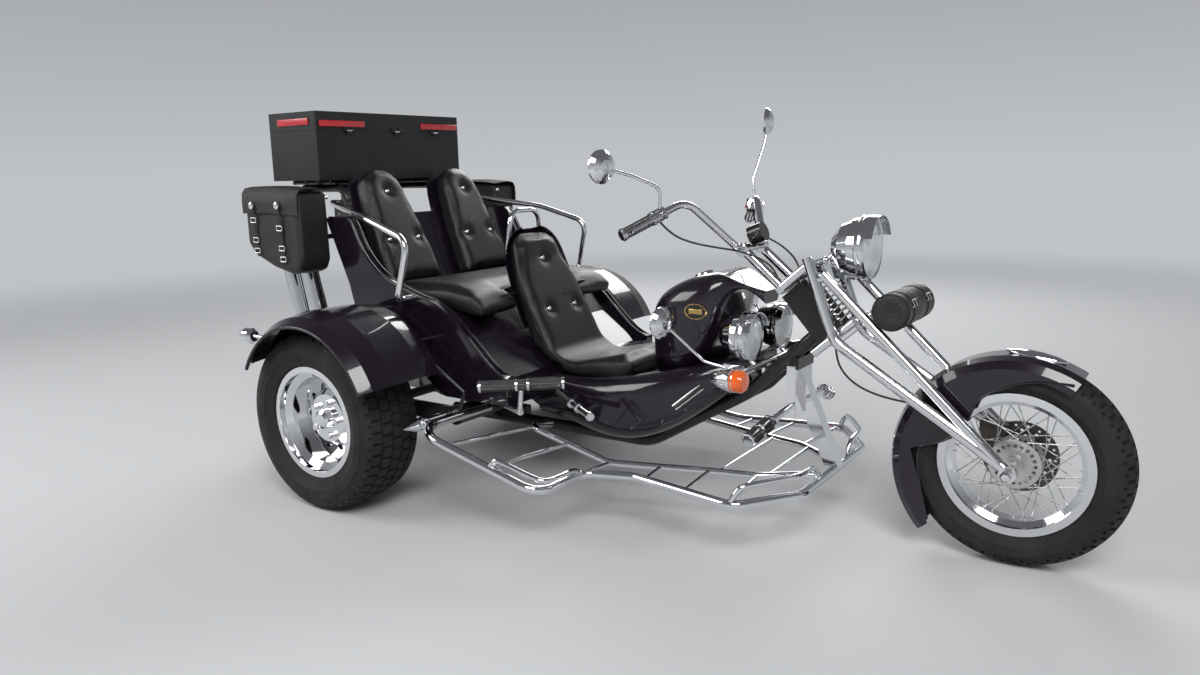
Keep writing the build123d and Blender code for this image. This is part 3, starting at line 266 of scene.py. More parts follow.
def makeFinish(name):
    finish = finishes[name]
    made = bpy.data.materials.new(name)
    made.use_nodes = True
    tree = made.node_tree
    shader = tree.nodes["Principled BSDF"]
    shader.inputs["Metallic"].default_value = finish["metal"]
    shader.inputs["Coat Weight"].default_value = finish["coat"]
    shader.inputs["Coat Roughness"].default_value = finishSettings["coatRough"]
    shader.inputs["Specular IOR Level"].default_value = finish["shine"]
    place = nodeIn(tree, "TexCoord")
    patches = nodeIn(tree, "Group", {"Scale": finish["patch"], "Low": 0.0, "High": 1.0}, node_tree=smudges)
    mix = nodeIn(tree, "Mix", {"A": (*finish["colour"], 1.0), "B": (*finish["second"], 1.0)},
                 data_type="RGBA")
    finer, (low, high) = finish["patch"] * finishSettings["glossPatch"], finish["rough"]
    gloss = nodeIn(tree, "Group", {"Scale": finer, "Low": low, "High": high}, node_tree=smudges)
    grain = nodeIn(tree, "Group", {"Scale": finish["grainScale"]}, node_tree=grainGroups[finish["grain"]])
    bump = nodeIn(tree, "Bump", {"Distance": finish["depth"]})
    wire(tree, (place, "Object", patches, "Vector"), (place, "Object", gloss, "Vector"),
         (place, "Object", grain, "Vector"), (patches, "Value", mix, "Factor"),
         (mix, "Result", shader, "Base Color"), (gloss, "Value", shader, "Roughness"),
         (grain, "Height", bump, "Height"), (bump, "Normal", shader, "Normal"))
    if "cuts" in finish:
        reach = {"Centre": middleOf(finish["wheel"]), "Count": finish["cuts"], "Inner": finish["inner"]}
        cuts = nodeIn(tree, "Group", reach, node_tree=treadCuts)
        deeper = nodeIn(tree, "Bump", {"Distance": finishSettings["cutDepth"]})
        wire(tree, (place, "Object", cuts, "Vector"), (cuts, "Height", deeper, "Height"),
             (bump, "Normal", deeper, "Normal"), (deeper, "Normal", shader, "Normal"))
    return made


materials = {name: makeFinish(name) for name in finishes}
finerFinishes = {"front_hub": "hubAlloy"}
for subpart in frame["record"]["subparts"]:
    slots = frame["nodes"][subpart["node"]].data.materials
    slots.clear()
    slots.append(materials[finerFinishes.get(subpart["node"], subpart["material_slot"])])
print("finishes made")

# Shared shapes


def aimed(place, direction):
    return Matrix.Translation(Vector(place)) @ Vector(direction).to_track_quat("Z", "Y").to_matrix().to_4x4()


# The piece takes the finish as its one material
def objectFrom(shape, name, body, finish, slotName=None, sharp=40.0):
    for face in shape.faces:
        face.smooth = True
    mesh = bpy.data.meshes.new(name)
    shape.to_mesh(mesh)
    shape.free()
    mesh.materials.append(materials[finish])
    mesh.set_sharp_from_angle(angle=math.radians(sharp))
    piece = linked(bpy.data.objects.new(name, mesh))
    slotName = slotName or finish
    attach(piece, body)
    return piece


def takeIn(shape, other):
    carrier = bpy.data.meshes.new("carrier")
    other.to_mesh(carrier)
    other.free()
    shape.from_mesh(carrier)
    bpy.data.meshes.remove(carrier)


def faceOut(shape):
    bmesh.ops.recalc_face_normals(shape, faces=shape.faces[:])


# Seams and poles are closed
def closeUp(shape):
    bmesh.ops.remove_doubles(shape, verts=shape.verts[:], dist=0.00002)
    faceOut(shape)


def moveBy(shape, matrix):
    bmesh.ops.transform(shape, matrix=matrix, verts=shape.verts[:])


def soften(shape, times, dots):
    for turn in range(times):
        bmesh.ops.smooth_vert(shape, verts=dots, factor=0.5, use_axis_x=True, use_axis_y=True,
                              use_axis_z=True)


# A profile of (radius, height) turned about its own upright axis
def spun(profile, steps, matrix):
    shape = bmesh.new()
    dots = [shape.verts.new((radius, 0.0, height)) for radius, height in profile]
    for pair in zip(dots, dots[1:]):
        shape.edges.new(pair)
    bmesh.ops.spin(shape, geom=shape.verts[:] + shape.edges[:], cent=(0, 0, 0), axis=(0, 0, 1),
                   angle=math.tau, steps=steps, use_merge=True, use_duplicate=False)
    closeUp(shape)
    moveBy(shape, matrix)
    return shape


def addTurned(shape, profile, steps, place, way):
    turned = spun(profile, steps, aimed(place, way))
    takeIn(shape, turned)


def addRod(shape, start, end, radius, sides=14):
    run = Vector(end) - Vector(start)
    bmesh.ops.create_cone(shape, cap_ends=True, segments=sides, radius1=radius, radius2=radius,
                          depth=run.length, matrix=aimed((Vector(start) + Vector(end)) / 2, run))


def addBlock(shape, low, high, edge, turn=None):
    low, high = Vector(low), Vector(high)
    part = bmesh.new()
    bmesh.ops.create_cube(part, size=1.0, matrix=Matrix.Diagonal((*(high - low), 1.0)))
    bmesh.ops.bevel(part, geom=part.edges[:], offset=edge, segments=3, affect="EDGES",
                    profile=0.5, material=-1)
    spin = turn or Matrix.Identity(4)
    moveBy(part, Matrix.Translation((low + high) / 2) @ spin)
    takeIn(shape, part)


def mirroredY(shape):
    other = shape.copy()
    moveBy(other, Matrix.Diagonal((1, -1, 1, 1)))
    bmesh.ops.reverse_faces(other, faces=other.faces[:])
    return other


# The shape and its mirror on the other side of the trike, as one piece
def pairFrom(shape, *looks):
    takeIn(shape, mirroredY(shape))
    return objectFrom(shape, *looks)


def makeLine(name, points, radius, closed=False):
    curve = bpy.data.curves.new(name, "CURVE")
    curve.dimensions = "3D"
    spline = curve.splines.new("NURBS")
    spline.points.add(len(points) - 1)
    for dot, place in zip(spline.points, points):
        dot.co = (*place, 1.0)
    spline.order_u = 3
    spline.use_cyclic_u = closed
    spline.use_endpoint_u = not closed
    spline.resolution_u = 8
    curve.bevel_depth = radius
    curve.bevel_resolution = 3
    curve.use_fill_caps = not closed
    return linked(bpy.data.objects.new(name, curve))


def shapeOf(thing):
    bpy.context.view_layer.update()
    graph = bpy.context.evaluated_depsgraph_get()
    mesh = bpy.data.meshes.new_from_object(thing.evaluated_get(graph))
    shape = bmesh.new()
    shape.from_mesh(mesh)
    bpy.data.meshes.remove(mesh)
    return shape


def lineShape(points, radius, closed=False):
    line = makeLine("guide", points, radius, closed)
    shape = shapeOf(line)
    bpy.data.objects.remove(line)
    closeUp(shape)
    return shape


# Cords: each lever's cable to the upper yoke, and the brake hose to the front fender

cordSettings = {
    "cable": {
        "points": ((1.189, 0.356, 1.058), (1.212, 0.322, 1.014), (1.258, 0.268, 0.984), (1.316, 0.212, 0.966),
                   (1.380, 0.160, 0.952), (1.438, 0.122, 0.926), (1.478, 0.102, 0.892),
                   (1.493, 0.096, 0.852)),
        "length": 0.474, "diameter": 0.007},
    "hose": {
        "points": ((1.675, -0.050, 0.650), (1.681, -0.056, 0.602), (1.708, -0.066, 0.556),
                   (1.758, -0.078, 0.522), (1.822, -0.088, 0.502), (1.888, -0.096, 0.494),
                   (1.944, -0.100, 0.491), (1.990, -0.100, 0.481)),
        "length": 0.401, "diameter": 0.007},
}


def makeCord(name, settings, side, node):
    points = [at(x, y * side, z) for x, y, z in settings["points"]]
    cord = makeLine(name, points, settings["diameter"] / 2)
    cord.data.materials.append(materials["rubber_hose"])
    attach(cord, "steering")
    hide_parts(node)


makeCord("leverCableLeft", cordSettings["cable"], 1, "lever_cables")
makeCord("leverCableRight", cordSettings["cable"], -1, "lever_cables")
makeCord("brakeHose", cordSettings["hose"], 1, "brake_hose")
print("cords laid")

# Seats: each pad is swollen from its solid, then dimpled under its buttons and piped

padCommon = {"side": 0, "voxel": 0.008, "rounding": 14, "shrink": 0.004, "pressure": 3.6, "cap": 0.014,
             "frames": 20, "settle": 6, "fill": 0.85}
driverPiping = ((0.180, 0.030), (0.182, 0.201), (0.172, 0.335), (0.128, 0.470), (0.088, 0.502),
                (0.042, 0.520))
backPiping = ((0.150, 0.030), (0.150, 0.110), (0.136, 0.265), (0.108, 0.410), (0.084, 0.462), (0.046, 0.492))
backButtons = ((-0.210, 0.0, 1.156), (-0.125, -0.08, 0.962), (-0.125, 0.08, 0.962))
cushionPiping = ((-0.022, -0.432), (0.2, -0.432), (0.436, -0.432), (0.436, -0.32), (0.436, -0.222),
                 (0.366, -0.222), (0.366, 0), (0.366, 0.222), (0.436, 0.222), (0.436, 0.32), (0.436, 0.432),
                 (0.2, 0.432), (-0.022, 0.432), (-0.022, 0.2), (-0.022, -0.2))
padSettings = {
    # lean in degrees and foot of the front face, buttons from the pad's own middle
    "driver": {**padCommon, "node": "driver_seat", "lean": 26.3, "foot": (0.602, 0.0, 0.520),
               "buttons": ((0.518, -0.085, 0.69), (0.518, 0.085, 0.69), (0.424, 0.0, 0.88)),
               "piping": driverPiping},
    "cushion": {**padCommon, "node": "rear_seat_cushion", "voxel": 0.009, "rounding": 16, "pressure": 4.0,
                "cap": 0.020, "fill": 0.8},
    "backRight": {**padCommon, "node": "rear_seat_backs", "side": -1, "lean": 24.0,
                  "foot": (-0.043, -0.231, 0.790), "buttons": backButtons, "piping": backPiping},
    "backLeft": {**padCommon, "node": "rear_seat_backs", "side": 1, "lean": 24.0,
                 "foot": (-0.043, 0.231, 0.790), "buttons": backButtons, "piping": backPiping},
}
buttonSettings = {"radius": 0.0105, "rise": 0.009, "sink": 0.016, "spread": 0.026, "into": 0.013}


def padShape(settings):
    shape = bmesh.new()
    shape.from_mesh(frame["nodes"][settings["node"]].data)
    bmesh.ops.remove_doubles(shape, verts=shape.verts[:], dist=0.0001)
    if settings["side"]:
        far = [dot for dot in shape.verts if dot.co.y * settings["side"] < 0]
        bmesh.ops.delete(shape, geom=far, context="VERTS")
    mesh = bpy.data.meshes.new("rawPad")
    shape.to_mesh(mesh)
    shape.free()
    raw = linked(bpy.data.objects.new("rawPad", mesh))
    remesh = raw.modifiers.new("remesh", "REMESH")
    remesh.mode = "VOXEL"
    remesh.voxel_size = settings["voxel"]
    shape = shapeOf(raw)
    bpy.data.objects.remove(raw)
    soften(shape, settings["rounding"], shape.verts[:])
    shape.normal_update()
    for dot in shape.verts:
        dot.co -= dot.normal * settings["shrink"]
    return shape


def swell(piece, settings):
    rest = [dot.co.copy() for dot in piece.data.vertices]
    cloth = piece.modifiers.new("cloth", "CLOTH")
    cloth.settings.use_pressure = True
    cloth.settings.uniform_pressure_force = settings["pressure"]
    cloth.settings.effector_weights.gravity = 0.0
    cloth.settings.quality = 4
    cloth.point_cache.frame_start = 1
    cloth.point_cache.frame_end = settings["frames"]
    scene = bpy.context.scene
    for count in range(1, settings["frames"] + 1):
        scene.frame_set(count)
    graph = bpy.context.evaluated_depsgraph_get()
    full = bpy.data.meshes.new_from_object(piece.evaluated_get(graph))
    for dot, start, grown in zip(piece.data.vertices, rest, full.vertices):
        move = grown.co - start
        if move.length > settings["cap"]:
            move = move.normalized() * settings["cap"]
        dot.co = start + move
    piece.modifiers.clear()
    bpy.data.meshes.remove(full)
    scene.frame_set(1)
    shape = bmesh.new()
    shape.from_mesh(piece.data)
    soften(shape, settings["settle"], shape.verts[:])
    shape.to_mesh(piece.data)
    shape.free()


def treeOf(piece):
    shape = bmesh.new()
    shape.from_mesh(piece.data)
    tree = BVHTree.FromBMesh(shape)
    shape.free()
    return tree


# Where lines that enter the pad from its front meet it
def touch(piece, places, into):
    tree = treeOf(piece)
    hits = [tree.ray_cast(place - into * 0.3, into)[0] for place in places]
    return [hit for hit in hits if hit is not None]


def sewButtons(name, piece, places, into):
    hits = touch(piece, places, into)
    for dot in piece.data.vertices:
        for hit in hits:
            near = (dot.co - hit).length / buttonSettings["spread"]
            if near < 3.0:
                dot.co += into * buttonSettings["sink"] * math.exp(-near * near)
    piece.data.update()
    radius, rise = buttonSettings["radius"], buttonSettings["rise"]
    dome = ((radius, -0.004), (radius, 0.002), (radius * 0.82, rise * 0.66), (radius * 0.45, rise * 0.93),
            (0.0, rise))
    buttons = bmesh.new()
    for hit in hits:
        addTurned(buttons, dome, 20, hit + into * buttonSettings["into"], -into)
    objectFrom(buttons, name + "Buttons", "chassis", "chrome")


def pipe(name, piece, places, into, radius):
    line = [hit + into * 0.001 for hit in touch(piece, places, into)]
    objectFrom(lineShape(line, radius, closed=True), name + "Piping", "chassis", "seat_leather")


# A place on the leaning front face of a seat
def leaning(settings, sideways, height):
    lean = math.radians(settings["lean"])
    return at(*settings["foot"]) + Vector((-math.sin(lean) * height, sideways, math.cos(lean) * height))


def smoothEnds(piece):
    finer = piece.modifiers.new("finer", "SUBSURF")
    finer.levels = 1
    finer.render_levels = 1


def makePad(name):
    settings = padSettings[name]
    pad = objectFrom(padShape(settings), name + "Pad", "chassis", "seat_leather", sharp=80.0)
    swell(pad, settings)
    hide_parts(settings["node"])
    if name == "cushion":
        pipe(name, pad, [at(x, y, 0.9) for x, y in cushionPiping], Vector((0, 0, -1)), 0.004)
    else:
        lean = math.radians(settings["lean"])
        into = -Vector((math.cos(lean), 0, math.sin(lean)))
        sewButtons(name, pad, [at(x, settings["foot"][1] + y, z) for x, y, z in settings["buttons"]], into)
        ring = [*settings["piping"],
                *((-sideways, height) for sideways, height in reversed(settings["piping"]))]
        pipe(name, pad, [leaning(settings, *dot) for dot in ring], into, 0.0035)
    smoothEnds(pad)


for padName in padSettings:
    makePad(padName)
print("pads sewn")

# The driver's back shell, a shallow glossy dish behind the pad

shellSettings = {
    # x, z down the pad's back, half width
    "stations": ((0.360, 1.001, 0.050), (0.351, 0.985, 0.112), (0.358, 0.950, 0.158), (0.366, 0.905, 0.184),
                 (0.375, 0.857, 0.200), (0.413, 0.757, 0.208), (0.449, 0.657, 0.210), (0.470, 0.622, 0.210)),
    "across": 12, "behind": 0.007, "wrap": 0.030, "curl": (0.9, 0.4), "wall": 0.006,
}


def makeBackShell():
    stations = shellSettings["stations"]
    rows = len(stations) - 1
    curlAhead, curlUp = shellSettings["curl"]
    shape = bmesh.new()
    bmesh.ops.create_grid(shape, x_segments=shellSettings["across"], y_segments=rows, size=1.0)
    for dot in shape.verts:
        share = dot.co.x
        x, z, half = stations[round((dot.co.y + 1) / 2 * rows)]
        rim = abs(share) ** 6 * shellSettings["wrap"]
        dot.co = at(x - shellSettings["behind"] + rim * curlAhead, share * half, z + rim * curlUp)
    bmesh.ops.solidify(shape, geom=shape.faces[:], thickness=shellSettings["wall"])
    faceOut(shape)
    smoothEnds(objectFrom(shape, "driverBackShell", "chassis", "body_paint", sharp=60.0))


makeBackShell()
print("driver shell made")

# Saddlebags: a soft case, a flap over its top, straps with buckles, piping

bagSettings = {
    "outline": ((-0.588, 1.178), (-0.254, 1.166), (-0.250, 0.900), (-0.268, 0.858), (-0.313, 0.842),
                (-0.425, 0.868), (-0.540, 0.914), (-0.588, 0.960)),
    "inner": 0.504, "outer": 0.648, "round": 0.020, "crown": 0.012, "middle": (-0.42, 1.02), "reach": 0.19,
    "flap": ((0.506, 1.184), (0.560, 1.190), (0.610, 1.192), (0.640, 1.186), (0.655, 1.166), (0.6575, 1.130),
             (0.6565, 1.086)),
    "flapBack": -0.592, "flapLong": 0.345, "flapHalf": 0.175, "flapWall": 0.004,
    "sagAhead": 0.012, "sagBehind": 0.004, "bulge": 0.010, "bulgeTop": 1.186,
    "straps": (-0.352, -0.512), "strapHalf": 0.011, "strapFlat": 0.22, "concho": 1.116, "rearRise": 0.030,
    "buckles": (1.027, 0.948, 0.905), "buckleHalf": (0.016, 0.009), "wire": 0.002,
    "stud": (-0.246, 0.516, 1.142),
    "dome": ((0.015, -0.004), (0.015, 0.0015), (0.0125, 0.004), (0.007, 0.0065),
                                             (0.0, 0.0075)),
    "piping": ((-0.578, 1.08), (-0.578, 0.968), (-0.535, 0.926), (-0.425, 0.880), (-0.316, 0.854),
               (-0.276, 0.868), (-0.262, 0.905), (-0.262, 1.08)),
}


def pulled(shape, made, way):
    moved = [item for item in made["geom"] if isinstance(item, bmesh.types.BMVert)]
    bmesh.ops.translate(shape, vec=way, verts=moved)


def bagCase():
    inner, outer, reach = bagSettings["inner"], bagSettings["outer"], bagSettings["reach"]
    shape = bmesh.new()
    near, far = ([shape.verts.new(at(x, y, z)) for x, z in bagSettings["outline"]] for y in (inner, outer))
    shape.faces.new(near)
    shape.faces.new(far)
    # Extruding would list the edges in another order each run, and the cuts below follow that order
    for turn in range(len(near)):
        shape.faces.new((near[turn - 1], near[turn], far[turn], far[turn - 1]))
    faceOut(shape)
    bmesh.ops.bevel(shape, geom=shape.edges[:], offset=bagSettings["round"], segments=4, affect="EDGES",
                    profile=0.5, material=-1)
    bmesh.ops.triangulate(shape, faces=[face for face in shape.faces if len(face.verts) > 4])
    bmesh.ops.subdivide_edges(shape, edges=shape.edges[:], cuts=3, use_grid_fill=True)
    middle = at(bagSettings["middle"][0], (inner + outer) / 2, bagSettings["middle"][1])
    for dot in shape.verts:
        along, up = (dot.co.x - middle.x) / reach, (dot.co.z - middle.z) / reach
        if dot.co.y > middle.y:
            dot.co.y += bagSettings["crown"] * (max(0.0, 1 - along ** 2) * max(0.0, 1 - up ** 2))
    soften(shape, 3, shape.verts[:])
    return shape


def bagFlap():
    shape = bmesh.new()
    dots = [shape.verts.new(at(bagSettings["flapBack"], y, z)) for y, z in bagSettings["flap"]]
    edges = [shape.edges.new(pair) for pair in zip(dots, dots[1:])]
    pulled(shape, bmesh.ops.extrude_edge_only(shape, edges=edges), (bagSettings["flapLong"], 0, 0))
    bmesh.ops.subdivide_edges(shape, edges=shape.edges[:], cuts=5, use_grid_fill=True)
    for dot in shape.verts:
        along = (dot.co.x - at(bagSettings["middle"][0], 0, 0).x) / bagSettings["flapHalf"]
        sag = bagSettings["sagAhead"] * max(0.0, along) ** 2
        dot.co.z -= sag + bagSettings["sagBehind"] * max(0.0, -along) ** 2
        low = max(0.0, min(1.0, (bagSettings["bulgeTop"] - dot.co.z) / 0.05))
        dot.co.y += bagSettings["bulge"] * (1 - along * along) * low
    soften(shape, 2, [dot for dot in shape.verts if not dot.is_boundary])
    faceOut(shape)
    bmesh.ops.solidify(shape, geom=shape.faces[:], thickness=bagSettings["flapWall"])
    faceOut(shape)
    return shape


# A strap lies flat on the flap and the case, with its buckles' wire frames over it
def addStrap(trim, metal, x):
    outer, high = bagSettings["outer"], bagSettings["concho"]
    (wide, tall), thin = bagSettings["buckleHalf"], bagSettings["wire"]
    rise = 0.0 if x > -0.45 else bagSettings["rearRise"]
    low = min(bagSettings["buckles"]) + rise
    strap = lineShape([at(x, outer + 0.024, high), at(x, outer + 0.023, 1.086), at(x, outer + 0.017, 1.0),
                       at(x, outer + 0.013, 0.94), at(x, outer + 0.006, low - 0.02)],
                      bagSettings["strapHalf"])
    for dot in strap.verts:
        share = min(1.0, max(0.0, (high - dot.co.z) / (high - low)))
        centre = outer + 0.022 - 0.016 * share
        dot.co.y = centre + (dot.co.y - centre) * bagSettings["strapFlat"]
    takeIn(trim, strap)
    for buckle in bagSettings["buckles"]:
        level = buckle + rise
        deep = outer + 0.024 - 0.012 * (high - level) / (high - low)
        for edge in (-1, 1):
            addRod(metal, at(x - wide, deep, level + edge * tall), at(x + wide, deep, level + edge * tall),
                   thin)
            addRod(metal, at(x + edge * wide, deep, level - tall), at(x + edge * wide, deep, level + tall),
                   thin)


def makeBags():
    case, flap, trim, metal = bagCase(), bagFlap(), bmesh.new(), bmesh.new()
    outer, dome = bagSettings["outer"], bagSettings["dome"]
    for x in bagSettings["straps"]:
        addStrap(trim, metal, x)
    takeIn(trim, lineShape([at(x, outer - 0.004, z) for x, z in bagSettings["piping"]], 0.0035))
    for x in bagSettings["straps"]:
        addTurned(metal, dome, 20, at(x, outer + 0.0255, bagSettings["concho"]), (0, 1, 0))
    small = [(radius * 0.55, rise) for radius, rise in dome]
    addTurned(metal, small, 16, at(*bagSettings["stud"]), (1, 0, 0))
    parts = (case, flap, trim, metal)
    for side, label in ((-1, "Right"), (1, "Left")):
        sides = [mirroredY(part) if side < 0 else part.copy() for part in parts]
        bag = objectFrom(sides[0], "saddlebag" + label, "chassis", "bag_leather", sharp=70.0)
        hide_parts("saddlebags")
        objectFrom(sides[1], "bagFlap" + label, "chassis", "bag_leather", sharp=60.0)
        objectFrom(sides[2], "bagStrap" + label, "chassis", "strapLeather", "bag_leather")
        objectFrom(sides[3], "bagBuckles" + label, "chassis", "chrome")
    for part in parts:
        part.free()


makeBags()
print("saddlebags made")

# Body: a rolled lip along both edges of each side wall, and beads on the fenders

lipSettings = {
    "line": ((0.628, 0.497), (0.575, 0.517), (0.515, 0.572), (0.455, 0.630), (0.385, 0.698), (0.280, 0.757),
             (0.125, 0.796), (0.000, 0.850), (-0.076, 0.926), (-0.130, 1.030), (-0.152, 1.054),
             (-0.190, 1.060), (-0.262, 1.060)),
    "places": (0.4935, 0.4610), "radius": 0.0062,
}
beadSettings = {
    # degrees and radius about a centre, for the rear fenders' open arch and the front fender's lower edge
    "rear": {"side": 0.9365, "bead": 0.0048, "arch": [(angle, 0.3405) for angle in range(24, 152, 7)]},
    "front": {"side": 0.087, "bead": 0.0032,
              "arch": ((61, 0.314), (80, 0.283), (102, 0.245), (119, 0.224), (132, 0.186), (158, 0.187),
                       (168, 0.224), (176, 0.298), (221, 0.310))},
}
staySettings = {
    "top": (0.062, 0.563, 0.7108), "foot": (0.480, 0.552, 0.446), "radius": 0.0052,
    "boltShift": (0, -0.004, 0.001), "boltWay": (0, -1, 0.4),
    "bolt": ((0.0115, -0.003), (0.0115, 0.002), (0.008, 0.006), (0.0, 0.008)),
}
finSettings = {
    "place": (2.270, 0, 0.655), "way": (-0.985, 0, 0.15), "stretch": (1.35, 0.72, 1.0, 1.0),
    "rings": ((0.0, -0.090), (0.008, -0.082), (0.017, -0.055), (0.022, -0.015), (0.021, 0.020),
              (0.015, 0.055), (0.006, 0.080), (0.0, 0.086)),
}


def makeLips():
    shape = bmesh.new()
    for place in lipSettings["places"]:
        takeIn(shape, lineShape([at(x, place, z) for x, z in lipSettings["line"]], lipSettings["radius"]))
    pairFrom(shape, "bodyLips", "chassis", "body_paint")


def makeBead(kind, centre, name, body):
    settings = beadSettings[kind]
    line = [Vector((centre.x + radius * math.cos(math.radians(angle)), settings["side"],
                    centre.z + radius * math.sin(math.radians(angle)))) for angle, radius in settings["arch"]]
    pairFrom(lineShape(line, settings["bead"]), name, body, "body_paint")


# Bright sleeves on the thin stays of the rear fenders, with a domed bolt at the top
def makeStays():
    shape = bmesh.new()
    top = at(*staySettings["top"])
    addRod(shape, top, at(*staySettings["foot"]), staySettings["radius"], 16)
    addTurned(shape, staySettings["bolt"], 16, top + Vector(staySettings["boltShift"]),
              staySettings["boltWay"])
    pairFrom(shape, "fenderStays", "chassis", "chrome")


# A plain fin on the front fender's crown
def makeFin():
    turn = aimed(at(*finSettings["place"]), finSettings["way"]) @ Matrix.Diagonal(finSettings["stretch"])
    objectFrom(spun(finSettings["rings"], 28, turn), "fenderFin", "steering", "chrome", sharp=60.0)


makeLips()
makeBead("rear", at(0.050, 0, 0.368), "rearFenderBeads", "chassis")
makeBead("front", frontAxle, "frontFenderBead", "steering")
makeStays()
makeFin()
print("body edges rolled")

# Trunk: reflectors on the lid's front and sides, bright knuckles on its three hinges

trunkSettings = {
    # low and high corners of each reflector
    "bars": (((-0.3995, -0.401, 1.426), (-0.392, -0.163, 1.452)),
             ((-0.3995, 0.172, 1.426), (-0.392, 0.410, 1.452)),
             ((-0.641, -0.424, 1.433), (-0.441, -0.4165, 1.461)),
             ((-0.641, 0.4165, 1.433), (-0.441, 0.424, 1.461))),
    "barEdge": 0.0025, "pin": (-0.392, 1.412), "hinges": (-0.25, 0.02, 0.26), "hingeHalf": 0.0135,
    "hingeRadius": 0.0056,
}


def makeTrunkTrim():
    bars, knuckles = bmesh.new(), bmesh.new()
    for low, high in trunkSettings["bars"]:
        addBlock(bars, at(*low), at(*high), trunkSettings["barEdge"])
    objectFrom(bars, "lidReflectors", "trunk_lid", "reflectorRed", "lamp_orange")
    x, z = trunkSettings["pin"]
    half = trunkSettings["hingeHalf"]
    for y in trunkSettings["hinges"]:
        addRod(knuckles, at(x, y - half, z), at(x, y + half, z), trunkSettings["hingeRadius"], 16)
    objectFrom(knuckles, "hingeKnuckles", "chassis", "chrome")


makeTrunkTrim()
print("reflectors and hinges set")

# Tyres: grooved tread with short cuts, a plain raised band on each side wall

tyreSettings = {
    # radii: seat, bead top, shoulder, crown; halves: rim, widest, tread
    "front": {"radii": (0.2032, 0.2247, 0.301, 0.323), "halves": (0.0445, 0.0745, 0.059),
              "grooves": (-0.030, 0.0, 0.030), "grooveHalf": 0.0028, "deep": 0.006, "steps": 200, "pitch": 4},
    "rear": {"radii": (0.1905, 0.210, 0.324, 0.338), "halves": (0.1015, 0.1275, 0.107),
             "grooves": (-0.066, -0.022, 0.022, 0.066), "grooveHalf": 0.0045, "deep": 0.008, "steps": 240,
             "pitch": 5},
}
bandSettings = {"foot": 0.016, "half": 0.014, "proud": 0.0025, "flare": 0.42, "beadRise": 0.006,
                "drop": 0.010}
cutSettings = {"below": 0.012, "facing": 0.35, "edge": 0.0004, "share": 0.8}


def tyreProfile(settings):
    seat, bead, shoulder, crown = settings["radii"]
    rimHalf, wide, tread = settings["halves"]
    foot, half, proud, flare, beadRise, drop = bandSettings.values()
    middle = (bead + shoulder) / 2
    side = [(seat, rimHalf), (bead, rimHalf), (bead + beadRise, rimHalf + (wide - rimHalf) * flare),
            (middle - foot, wide - proud), (middle - half, wide), (middle + half, wide),
            (middle + foot, wide - proud), (shoulder - drop, tread + (wide - tread) * flare),
            (shoulder, tread)]
    top = [(crown - (crown - shoulder) * share * share, share * tread) for share in (-0.8, -0.45, 0.45, 0.8)
           if all(abs(share * tread - place) > 0.008 for place in settings["grooves"])]
    half, deep = settings["grooveHalf"], settings["deep"]
    for place in settings["grooves"]:
        for offset, sunk in ((-half, 0.0), (-half * 0.7, deep), (half * 0.7, deep), (half, 0.0)):
            share = (place + offset) / tread
            top.append((crown - (crown - shoulder) * share * share - sunk, place + offset))
    top.sort(key=lambda dot: dot[1])
    return [(radius, -away) for radius, away in side] + top + side[::-1] + [(seat, -rimHalf)]


# Every few steps round, a short cut across each rib, staggered from rib to rib
def cutTread(shape, centre, settings):
    shoulder = settings["radii"][2]
    rows = {}
    faceOut(shape)
    for face in shape.faces:
        middle = face.calc_center_median() - centre
        radius = math.hypot(middle.x, middle.z)
        facing = (face.normal.x * middle.x + face.normal.z * middle.z) / radius
        if radius < shoulder - cutSettings["below"] or facing < cutSettings["facing"]:
            continue
        step = int(math.floor(math.atan2(middle.z, middle.x) / math.tau * settings["steps"] + 0.001))
        rib = sum(middle.y > place for place in settings["grooves"])
        if abs(middle.y) > settings["halves"][2]:
            rib += 1
        sunk = any(abs(middle.y - place) < settings["grooveHalf"] for place in settings["grooves"])
        if not sunk and (step + rib * 2) % settings["pitch"] == 0:
            rows.setdefault(rib, []).append(face)
    deep = settings["deep"] * cutSettings["share"]
    for cut in rows.values():
        bmesh.ops.inset_individual(shape, faces=cut, thickness=cutSettings["edge"], depth=-deep)


def makeTyre(kind, name, node, body, finish):
    centre = middleOf(node)
    settings = tyreSettings[kind]
    shape = spun(tyreProfile(settings), settings["steps"], aimed(centre, (0, 1, 0)))
    cutTread(shape, centre, settings)
    tyre = objectFrom(shape, name, body, finish, "tyre", 32.0)
    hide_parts(node)


makeTyre("front", "frontTyreTread", "front_tyre", "front_wheel", "frontTyre")
makeTyre("rear", "rearTyreTreadRight", "rear_tyre_right", "rear_wheel_right", "rearTyreRight")
makeTyre("rear", "rearTyreTreadLeft", "rear_tyre_left", "rear_wheel_left", "rearTyreLeft")
print("tyres cut")

# Lamps: fluted glasses in bright rings, chrome tails of the indicators

lampSettings = {
    "head": ((1.740, 0.0, 0.962), 0.100, "steering"),
    "spotRight": ((1.385, -0.130, 0.660), 0.080, "chassis"),
    "spotLeft": ((1.385, 0.130, 0.660), 0.080, "chassis"),
}
indicatorSettings = {
    "place": (1.422, 0.2993, 0.544),
    "tail": ((0.0, -0.0792), (0.0090, -0.0765), (0.0150, -0.0708), (0.0225, -0.0575), (0.0280, -0.0440),
             (0.0345, -0.0220), (0.0378, -0.0040), (0.0386, 0.0010), (0.0378, 0.0040), (0.0368, 0.0042)),
    "band": ((0.0372, 0.0095), (0.0382, 0.0115), (0.0372, 0.0135)),
}


